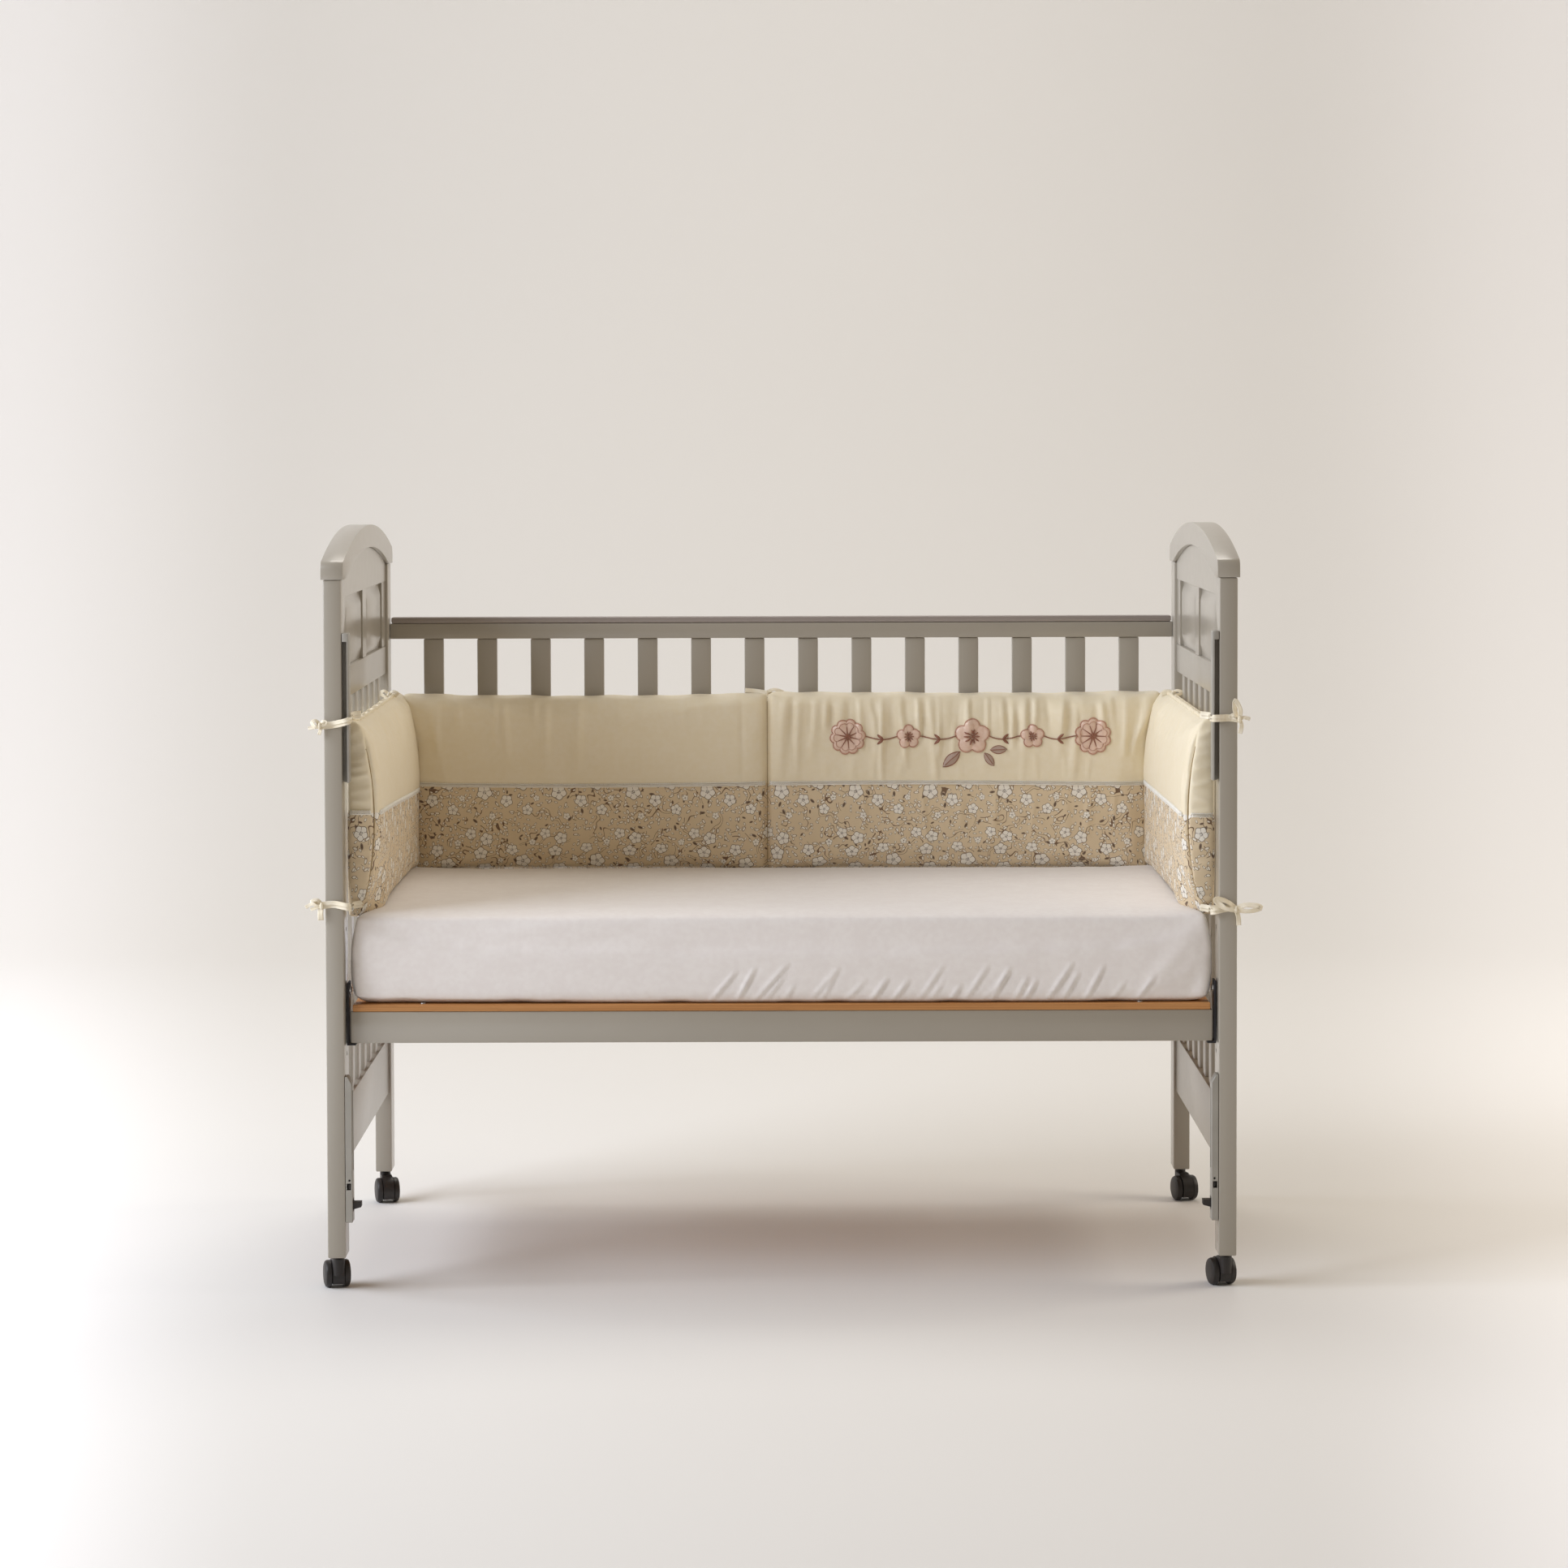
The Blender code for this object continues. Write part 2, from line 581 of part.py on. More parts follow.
# ---------------------------------------------------------------- casters
def caster_hood():
    """The forked hood with its swivel stem, in the caster's own frame.

    Local Z is the swivel axis, and the wheels trail toward local +Y.
    """
    centre = (0, TRAIL, WHEEL_RADIUS)
    half = HOOD_WIDTH / 2
    hood = rod("hood", 0.0205, (-half, *centre[1:]), (half, *centre[1:]), BLACK_PLASTIC, segments=28)
    join(hood, rod("hood_boss", half, (0, 0, 0.020), (0, 0, HOOD_TOP), collection=CUTTERS, segments=20))
    join(hood, box("hood_web", ((-half, half), (0, TRAIL), (0.020, HOOD_TOP - 0.002)), None,
                   edge=0.002, collection=CUTTERS))
    join(hood, rod("hood_neck", 0.0052, (0, 0, 0.030), (0, 0, POST_BOTTOM - GAP), collection=CUTTERS))
    join(hood, rod("hood_stem", STEM_RADIUS, (0, 0, 0.030), (0, 0, STEM_TOP), collection=CUTTERS))
    cut(hood, rod("hood_axle_hole", AXLE_RADIUS + 0.0004, (-0.02, *centre[1:]), (0.02, *centre[1:]),
                  collection=CUTTERS))
    cut(hood, box("hood_foot", ((-0.02, 0.02), (-0.02, 0.06), (-0.02, 0.0065)), None, collection=CUTTERS))
    return finished_mesh(hood)


def wheelset_profile():
    """Half of the pair of wheels, from the middle of the axle to the domed outer face."""
    inner = HOOD_WIDTH / 2 + 0.0006
    outer = inner + WHEEL_WIDTH
    radius = WHEEL_RADIUS
    return [(AXLE_RADIUS, inner), (radius - 0.0006, inner), (radius, inner + 0.0006),
            (radius, outer - 0.0042), (radius - 0.0014, outer - 0.0018), (radius - 0.0045, outer - 0.0006),
            (radius * 0.45, outer), (0, outer)]


def make_casters():
    """An empty on each swivel axis carries a hood and a pair of wheels on one axle."""
    half = wheelset_profile()
    profile = [*reversed(half), *[(radius, -height) for radius, height in half]]
    hood_mesh = caster_hood()
    axle = Matrix.Rotation(pi / 2, 4, "Y")
    for row, toward in ROWS.items():
        yaw = CASTER_YAW if toward < 0 else CASTER_YAW + pi
        for side_name, side in SIDES.items():
            label = f"{row}_{side_name}"
            swivel = bpy.data.objects.new(f"caster_{label}", None)
            PARTS.objects.link(swivel)
            swivel.matrix_world = (Matrix.Translation((side * POST_X, toward * POST_Y, 0))
                                   @ Matrix.Rotation(yaw, 4, "Z"))
            hood = add_object(f"caster_hood_{label}", hood_mesh)
            wheels = turned(f"caster_wheels_{label}", profile, Matrix(), BLACK_PLASTIC)
            for piece, local in ((hood, Matrix()),
                                 (wheels, Matrix.Translation((0, TRAIL, WHEEL_RADIUS)) @ axle)):
                piece.parent = swivel
                piece.matrix_parent_inverse = Matrix()
                piece.matrix_basis = local


# ---------------------------------------------------------------- build
clear_scene()
PARTS = new_collection("baby_cot")
CUTTERS = new_collection("cutters")

WOOD_PAINT = paint("grey_paint", (0.33, 0.32, 0.29), 0.45)
STRIP_PAINT = paint("strip_paint", (0.27, 0.25, 0.24), 0.40)
TRACK_PAINT = paint("track_plastic", (0.34, 0.33, 0.32), 0.45)
PLYWOOD = paint("plywood", (0.50, 0.27, 0.12), 0.55)
BLACK_STEEL = paint("black_steel", (0.012, 0.012, 0.012), 0.40, 1.0)
ZINC = paint("zinc", (0.60, 0.60, 0.58), 0.30, 1.0)
BLACK_PLASTIC = paint("black_plastic", (0.016, 0.014, 0.013), 0.50)
SHEETING = paint("white_jersey", (0.80, 0.77, 0.76), 0.90)
PADDING = paint("cream_cotton", (0.78, 0.70, 0.52), 0.85)

make_posts()
make_arch_caps()
make_arch_boards()
make_panel_inserts()
make_mid_rails()
make_end_grilles()
make_back()
make_base()
make_hangers()
make_upper_tracks()
make_lower_tracks()
make_release_levers()
make_mattress()
make_bumper()
make_casters()
bpy.context.view_layer.update()
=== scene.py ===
# %% [markdown]
# # A painted baby cot with its bedding
# The cot's wooden frame, its fittings and its casters come ready made from the CAD model. This
# notebook loads them as a fixed frame, gives each one a real finish, and makes everything soft:
# the mattress with its fitted sheet, the padded bumper, the lace, the embroidery and the ties.

# %% Load the fixed frame
import math
import random

import bmesh
import bpy
import numpy as np
from mathutils import Matrix, Vector
from mathutils.bvhtree import BVHTree


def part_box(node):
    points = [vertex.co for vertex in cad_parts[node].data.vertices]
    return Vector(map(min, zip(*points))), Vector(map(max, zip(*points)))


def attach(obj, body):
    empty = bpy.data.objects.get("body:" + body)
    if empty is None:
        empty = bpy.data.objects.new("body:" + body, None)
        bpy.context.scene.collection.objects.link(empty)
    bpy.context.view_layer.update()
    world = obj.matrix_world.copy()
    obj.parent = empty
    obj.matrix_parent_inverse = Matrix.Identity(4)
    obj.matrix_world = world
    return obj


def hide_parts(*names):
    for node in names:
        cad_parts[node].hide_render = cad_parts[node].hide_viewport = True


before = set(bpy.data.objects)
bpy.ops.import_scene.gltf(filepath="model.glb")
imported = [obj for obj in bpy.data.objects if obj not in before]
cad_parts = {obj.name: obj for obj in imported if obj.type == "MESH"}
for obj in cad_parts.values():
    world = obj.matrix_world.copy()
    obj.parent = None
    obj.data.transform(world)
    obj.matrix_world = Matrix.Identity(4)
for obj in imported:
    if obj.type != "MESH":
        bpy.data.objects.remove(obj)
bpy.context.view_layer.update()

# %% [markdown]
# ## Where things are
# The boxes that the cloth must fit are read from the frame, so it lies where the cot says. A box
# is a lowest and a highest corner, kept as arrays so that they can be added and scaled.

# %% Read the places of the pieces that the cloth touches
def span(node):
    """Lowest and highest corner of a CAD node as arrays."""
    return [np.array(corner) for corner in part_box(node)]


post_low, _ = span("post_front_right")
track_low, _ = span("upper_track_right")
bed_low, bed_high = span("mattress")
back_low, back_high = span("bumper_back")
arm_low, arm_high = span("bumper_right")
print("bumper stands from", round(arm_low[2], 4), "to", round(arm_high[2], 4))

# %% [markdown]
# ## Colour and node helpers
# Paint charts and cloth swatches are given as sRGB hex values, but a shader works with linear
# light, so one function turns one into the other. A second function adds a node to a material,
# with its settings and with whatever feeds its sockets. All the finishes are made from these two.

# %% Colour and node helpers
def linear(hex_text, alpha=1.0):
    """An sRGB hex colour as the linear RGBA that a shader takes."""
    values = [int(hex_text[at:at + 2], 16) / 255 for at in (0, 2, 4)]
    return [v / 12.92 if v <= 0.04045 else ((v + 0.055) / 1.055) ** 2.4 for v in values] + [alpha]


def add(tree, kind, inputs=None, **settings):
    """Adds one node. An input is a number, a hex colour, a node or one of a node's outputs."""
    made = tree.nodes.new("ShaderNode" + kind)
    for setting, value in settings.items():
        setattr(made, setting, value)
    for name, value in (inputs or {}).items():
        if isinstance(name, int):
            socket = made.inputs[name]
        else:
            socket = next(s for s in made.inputs if s.enabled and s.name == name)
        if isinstance(value, bpy.types.Node):
            value = next(s for s in value.outputs if s.enabled)
        if isinstance(value, bpy.types.NodeSocket):
            tree.links.new(value, socket)
        elif isinstance(value, str):
            socket.default_value = linear(value)
        else:
            socket.default_value = value
    return made


def new_material(name):
    """An empty node material: its tree and its Principled shader, already joined to the output."""
    material = bpy.data.materials.new(name)
    material.use_nodes = True
    tree = material.node_tree
    tree.nodes.clear()
    shader = add(tree, "BsdfPrincipled")
    add(tree, "OutputMaterial", {"Surface": shader})
    return material, tree, shader


MM = 0.001
SIDES = (("left", -1), ("right", 1))

# %% [markdown]
# ## Painted pine
# The frame is solid pine, sanded, primed and sprayed with a satin acrylic lacquer in warm grey.
# Such a lacquer hides the grain. What the eye sees is a soft sheen that mirrors the room at a low
# angle, a faint orange-peel ripple a few millimetres wide, slight drifts in tone along a board,
# and paler arrises. The paler arrises are a painted highlight where light catches the rounded
# edges, with a little rubbed paint. The Bevel node finds those arrises: its normal differs from
# the true one only near an edge.

# %% Painted pine
def sprayed_pine(name, colour, highlight_and_rubbed, roughness):
    material, tree, shader = new_material(name)
    place = add(tree, "TexCoord").outputs["Object"]
    drift = add(tree, "TexNoise", {"Vector": place, "Scale": 3.0, "Detail": 3.0})
    tone = add(tree, "MapRange", {"Value": drift, "From Min": 0.3, "From Max": 0.7,
                                  "To Min": 0.97, "To Max": 1.03})
    soft = add(tree, "Bevel", {"Radius": 1.2 * MM}, samples=6)
    true = add(tree, "NewGeometry").outputs["Normal"]
    facing = add(tree, "VectorMath", {0: soft, 1: true}, operation="DOT_PRODUCT")
    arris = add(tree, "MapRange", {"Value": facing, "From Min": 0.995, "From Max": 0.90,
                                   "To Min": 0.0, "To Max": 1.0})
    patchiness = add(tree, "TexNoise", {"Vector": place, "Scale": 60.0, "Detail": 4.0})
    uneven = add(tree, "MapRange", {"Value": patchiness, "From Min": 0.35, "From Max": 0.65,
                                    "To Min": 0.30, "To Max": 0.55})
    # Painted highlight: the arrises are mixed toward a paler colour where the rounded edges catch the
    # light, patchy as rubbed paint is.
    highlight_and_wear = add(tree, "Math", {0: arris, 1: uneven}, operation="MULTIPLY")
    toned = add(tree, "VectorMath", {0: linear(colour)[:3], "Scale": tone}, operation="SCALE")
    paint = add(tree, "Mix", {"Factor": highlight_and_wear, "A": toned, "B": highlight_and_rubbed}, data_type="RGBA")
    tree.links.new(paint.outputs[2], shader.inputs["Base Color"])
    # The sheen varies a little, as the spray lay wetter in some places than in others.
    gloss = add(tree, "MapRange", {"Value": patchiness, "From Min": 0.3, "From Max": 0.7,
                                   "To Min": roughness - 0.012, "To Max": roughness + 0.015})
    tree.links.new(gloss.outputs[0], shader.inputs["Roughness"])
    # Orange peel in sprayed lacquer repeats about every 3 mm and is a few thousandths deep.
    peel = add(tree, "TexNoise", {"Vector": place, "Scale": 330.0, "Detail": 1.0})
    ripple = add(tree, "Bump", {"Height": peel, "Distance": 0.008 * MM, "Strength": 0.5})
    tree.links.new(ripple.outputs[0], shader.inputs["Normal"])
    shader.inputs["Specular IOR Level"].default_value = 0.65
    # The clear top of the lacquer mirrors the room where it is seen at a low angle.
    shader.inputs["Coat Weight"].default_value = 0.45
    shader.inputs["Coat Roughness"].default_value = 0.24
    return material


# The second colour is the paler arris colour: a painted highlight with some rubbed paint.
painted_pine = sprayed_pine("satin_lacquered_pine", "A29B8E", "C4BEB1", 0.29)
strip_pvc = sprayed_pine("moulded_pvc_strip", "948A84", "A79E98", 0.33)
print("made", painted_pine.name, "and", strip_pvc.name)

# %% [markdown]
# ## Birch plywood
# The base board is plywood with a rotary-cut birch face under a thin amber lacquer. Its face shows
# long soft figure along the board, and its sawn edge shows the plies as thin dark and pale layers.
# The layers come from height alone, and the face from a noise stretched thirty times along X.

# %% Birch plywood
def lacquered_plywood(layer):
    material, tree, shader = new_material("amber_lacquered_birch_plywood")
    place = add(tree, "TexCoord").outputs["Object"]
    along = add(tree, "VectorMath", {0: place, 1: (2.2, 60.0, 260.0)}, operation="MULTIPLY")
    figure = add(tree, "TexNoise", {"Vector": along, "Scale": 1.0, "Detail": 5.0, "Distortion": 0.6})
    pores = add(tree, "VectorMath", {0: place, 1: (25.0, 900.0, 900.0)}, operation="MULTIPLY")
    fleck = add(tree, "TexNoise", {"Vector": pores, "Scale": 1.0, "Detail": 2.0})
    strength = add(tree, "MapRange", {"Value": figure, "From Min": 0.3, "From Max": 0.7})
    face = add(tree, "Mix", {"Factor": strength, "A": "AC733B", "B": "C68E54"}, data_type="RGBA")
    height = add(tree, "SeparateXYZ", {"Vector": place}).outputs["Z"]
    plies = add(tree, "Math", {0: height, 1: 2 * math.pi / layer}, operation="MULTIPLY")
    wave = add(tree, "Math", {0: plies}, operation="SINE")
    dark_ply = add(tree, "MapRange", {"Value": wave, "From Min": 0.35, "From Max": 0.75,
                                      "To Min": 0.0, "To Max": 0.38})
    upright = add(tree, "SeparateXYZ", {"Vector": add(tree, "NewGeometry").outputs["Normal"]})
    level = add(tree, "Math", {0: upright.outputs["Z"]}, operation="ABSOLUTE")
    on_edge = add(tree, "Math", {0: level, 1: 0.5}, operation="LESS_THAN")
    cut = add(tree, "Math", {0: dark_ply, 1: on_edge}, operation="MULTIPLY")
    layered = add(tree, "Mix", {"Factor": cut, "A": face.outputs[2], "B": "7E4F28"}, data_type="RGBA")
    speck = add(tree, "MapRange", {"Value": fleck, "From Min": 0.60, "From Max": 0.72,
                                   "To Min": 0.0, "To Max": 0.30})
    wood = add(tree, "Mix", {"Factor": speck, "A": layered.outputs[2], "B": "85562E"}, data_type="RGBA")
    tree.links.new(wood.outputs[2], shader.inputs["Base Color"])
    gloss = add(tree, "MapRange", {"Value": fleck, "To Min": 0.42, "To Max": 0.60})
    tree.links.new(gloss.outputs[0], shader.inputs["Roughness"])
    raised = add(tree, "Bump", {"Height": fleck, "Distance": 0.08 * MM, "Strength": 0.6})
    tree.links.new(raised.outputs[0], shader.inputs["Normal"])
    return material


plywood = lacquered_plywood(1.9 * MM)

# %% [markdown]
# ## Metal and moulded plastic
# The base hangs from steel straps that are powder coated black: the coat is a melted plastic
# powder, so it is matt with a fine pebbled skin. Its bolts are zinc plated, which is a pale metal
# with cloudy crystals. The tracks are moulded ABS, and the casters and levers black nylon.
# Moulded plastic takes a fine even texture from the steel of its mould.

# %% Metal and moulded plastic
def textured_skin(name, colour, second, roughness, grain, depth, metallic=0.0, cloud=25.0):
    """A skin of two close tones under a fine pebble whose width is grain, in metres."""
    material, tree, shader = new_material(name)
    place = add(tree, "TexCoord").outputs["Object"]
    cloudy = add(tree, "TexNoise", {"Vector": place, "Scale": cloud, "Detail": 5.0})
    amount = add(tree, "MapRange", {"Value": cloudy, "From Min": 0.35, "From Max": 0.65})
    tone = add(tree, "Mix", {"Factor": amount, "A": colour, "B": second}, data_type="RGBA")
    tree.links.new(tone.outputs[2], shader.inputs["Base Color"])
    gloss = add(tree, "MapRange", {"Value": cloudy, "To Min": roughness - 0.06,
                                   "To Max": roughness + 0.06})
    tree.links.new(gloss.outputs[0], shader.inputs["Roughness"])
    shader.inputs["Metallic"].default_value = metallic
    pebble = add(tree, "TexNoise", {"Vector": place, "Scale": 1 / grain, "Detail": 2.0})
    bump = add(tree, "Bump", {"Height": pebble, "Distance": depth, "Strength": 0.6})
    tree.links.new(bump.outputs[0], shader.inputs["Normal"])
    return material


powder_steel = textured_skin("powder_coated_steel", "17161A", "232126", 0.50, 0.9 * MM, 0.06 * MM)
zinc_steel = textured_skin("zinc_plated_steel", "B9BABC", "D3D2CE", 0.34, 1.2 * MM, 0.02 * MM,
                           metallic=1.0, cloud=220.0)
moulded_abs = textured_skin("moulded_abs", "99958C", "A29E95", 0.36, 1.1 * MM, 0.03 * MM)
black_nylon = textured_skin("moulded_black_nylon", "1D1917", "2A2421", 0.44, 1.0 * MM, 0.05 * MM)

# %% [markdown]
# ## Dress the CAD parts
# Each part keeps its shape and its place. It only gets its finish, and two modifiers that help it
# to look machined: Weld closes the seams between its facets, and Edge Split lets the rounded
# stretches shade smoothly while the arrises stay crisp. The normals that came with the part are
# dropped, because they would hide what the two modifiers do.

# %% Dress the CAD parts
FINISHES = {
    "back_top_strip": strip_pvc,
    "base_board": plywood,
    "base_hanger": powder_steel,
    "hanger_bolt": zinc_steel,
    "upper_track": moulded_abs,
    "lower_track": moulded_abs,
    "release_lever": black_nylon,
    "caster": black_nylon,
}

for node_name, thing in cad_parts.items():
    finish = next((f for start, f in FINISHES.items() if node_name.startswith(start)), painted_pine)
    for slot in thing.material_slots:
        slot.material = finish
    weld = thing.modifiers.new("closed_facets", "WELD")
    weld.merge_threshold = 0.00001
    crisp = thing.modifiers.new("crisp_arrises", "EDGE_SPLIT")
    crisp.split_angle = math.radians(32)
    thing.data.attributes.remove(thing.data.attributes["custom_normal"])
    thing.data.shade_smooth()
print("dressed", len(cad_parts), "CAD parts")

# %% [markdown]
# ## Cotton cloths
# Four cloths make the bedding. The fitted sheet is cotton jersey, a knit, soft and a little
# fuzzy. The bumper's upper half is cotton sateen, whose floating threads give a low silky sheen.
# Its lower half is plain-woven cotton with a printed pattern. The ties are woven cotton tape.
# Real threads are 0.15 to 0.3 mm apart, too fine to see from across a room, so the weave is drawn
# at about 1 mm. All of them read the cloth's own flat coordinates, which are stored on the mesh
# before it is shaped, so that the pattern follows every wrinkle.

# %% Cotton cloth
def flat_cloth(tree):
    """The cloth's own coordinates in millimetres, laid flat."""
    stored = add(tree, "Attribute", attribute_name="flat_cloth").outputs["Vector"]
    return add(tree, "VectorMath", {0: stored, "Scale": 1000.0}, operation="SCALE")


def woven(tree, shader, flat, pitch, depth, slub):
    """Raises warp and weft threads, with slubs where a thread runs thicker."""
    turns = 2 * math.pi / pitch
    axes = add(tree, "SeparateXYZ", {"Vector": flat})
    threads = []
    for axis in ("X", "Y"):
        angle = add(tree, "Math", {0: axes.outputs[axis], 1: turns}, operation="MULTIPLY")
        threads.append(add(tree, "Math", {0: angle}, operation="SINE"))
    over = add(tree, "Math", {0: threads[0], 1: threads[1]}, operation="MULTIPLY")
    thick = add(tree, "TexNoise", {"Vector": flat, "Scale": 0.12, "Detail": 4.0})
    both = add(tree, "Math", {0: thick, 1: slub, 2: over}, operation="MULTIPLY_ADD")
    bump = add(tree, "Bump", {"Height": both, "Distance": depth, "Strength": 0.7})
    tree.links.new(bump.outputs[0], shader.inputs["Normal"])
    return thick


def plain_cotton(name, colour, second, pitch, depth, sheen, roughness=0.85):
    """A dyed cotton of two close tones, drifting over some centimetres as washed cloth does."""
    material, tree, shader = new_material(name)
    flat = flat_cloth(tree)
    thick = woven(tree, shader, flat, pitch, depth, 0.6)
    drift = add(tree, "TexNoise", {"Vector": flat, "Scale": 0.03, "Detail": 2.0})
    mixed = add(tree, "Math", {0: drift, 1: thick}, operation="MULTIPLY")
    amount = add(tree, "MapRange", {"Value": mixed, "From Min": 0.15, "From Max": 0.36})
    dyed = add(tree, "Mix", {"Factor": amount, "A": colour, "B": second}, data_type="RGBA")
    tree.links.new(dyed.outputs[2], shader.inputs["Base Color"])
    shader.inputs["Roughness"].default_value = roughness
    shader.inputs["Sheen Weight"].default_value = sheen
    shader.inputs["Sheen Roughness"].default_value = 0.45
    shader.inputs["Specular IOR Level"].default_value = 0.25
    return material


jersey = plain_cotton("white_cotton_jersey", "EDE7E3", "F1ECE8", 1.6, 0.12 * MM, 0.25)
sateen = plain_cotton("cream_cotton_sateen", "EEE2C5", "F0E5CB", 1.1, 0.04 * MM, 0.15, 0.50)
# The seam thread's dark tan is partly painted shade, standing for the shadow in the seam valleys.
seam_shade_thread = plain_cotton("dark_thread_painted_seam_shade", "A38D66", "AE9872", 0.6, 0.01 * MM, 0.10)
tape_cotton = plain_cotton("cream_cotton_tape", "EDE2C8", "F5EDDA", 1.0, 0.04 * MM, 0.15, 0.75)
lace_cotton = plain_cotton("white_cotton_lace", "F8F3E6", "FDFAF1", 0.8, 0.02 * MM, 0.20)

# %% [markdown]
# ## Printed cotton
# The lower half of the bumper is screen printed: white roses with a fine dark outline on a fawn
# ground, with leaves, buds and thin twining stems between them. It repeats every 114 by 128 mm.
# Each rose is listed with its place inside one repeat. The nodes fold every point of the cloth to the
# rose it is nearest to, and then one small drawing serves them all: the outline is a circle whose
# radius swells five times round, which gives five petals. The leaves come from a Voronoi scatter,
# where each cell holds one leaf turned its own way, and the stems are the level lines of a noise.

# %% Printed cotton
ROSES = [  # across, up, radius and turn, in millimetres and radians, inside one repeat
    (0, 0, 12.0, 0.2), (58, 15, 12.0, 1.3), (-6, 33, 10.8, 2.2), (3, 56, 10.0, 0.7),
    (-21, 64, 8.6, 1.8), (42, 38, 9.4, 2.9), (34, -13, 9.6, 0.4), (66, -27, 8.4, 1.1),
    (-41, 50, 5.2, 0.9), (80, -9, 4.8, 2.0), (24, 18, 4.6, 0.1), (12, -37, 5.4, 1.5),
]
REPEAT = (114.5, 128.0)


def nearest_rose(tree, flat):
    """Folds the cloth so that each point has its place in the nearest rose, whose radius is 1."""
    half = (REPEAT[0] / 2, REPEAT[1] / 2, 1.0)
    low = tuple(-v for v in half)
    best = None
    for across, up, radius, turn in ROSES:
        local = add(tree, "VectorMath", {0: flat, 1: (across, up, 0.0)}, operation="SUBTRACT")
        local = add(tree, "VectorMath", {0: local, 1: half, 2: low}, operation="WRAP")
        local = add(tree, "Mapping", {"Vector": local, "Rotation": (0.0, 0.0, turn),
                                      "Scale": (1 / radius, 1 / radius, 1.0)})
        if best is None:
            best = local
            continue
        mine = add(tree, "VectorMath", {0: local}, operation="LENGTH")
        other = add(tree, "VectorMath", {0: best}, operation="LENGTH")
        closer = add(tree, "Math", {0: mine, 1: other}, operation="LESS_THAN")
        best = add(tree, "Mix", {"Factor": closer, "A": best, "B": local}, data_type="VECTOR")
    return best


def band(tree, value, middle, half_width, soft):
    """1 where a value lies within half_width of middle, and 0 outside it."""
    off = add(tree, "Math", {0: value, 1: middle}, operation="SUBTRACT")
    away = add(tree, "Math", {0: off}, operation="ABSOLUTE")
    return add(tree, "MapRange", {"Value": away, "From Min": half_width + soft, "From Max": half_width,
                                  "To Min": 0.0, "To Max": 1.0}, interpolation_type="SMOOTHSTEP")


def painted_over(tree, under, mask, hex_text):
    """One more ink printed over the colour beneath."""
    return add(tree, "Mix", {"Factor": mask, "A": under, "B": hex_text}, data_type="RGBA").outputs[2]


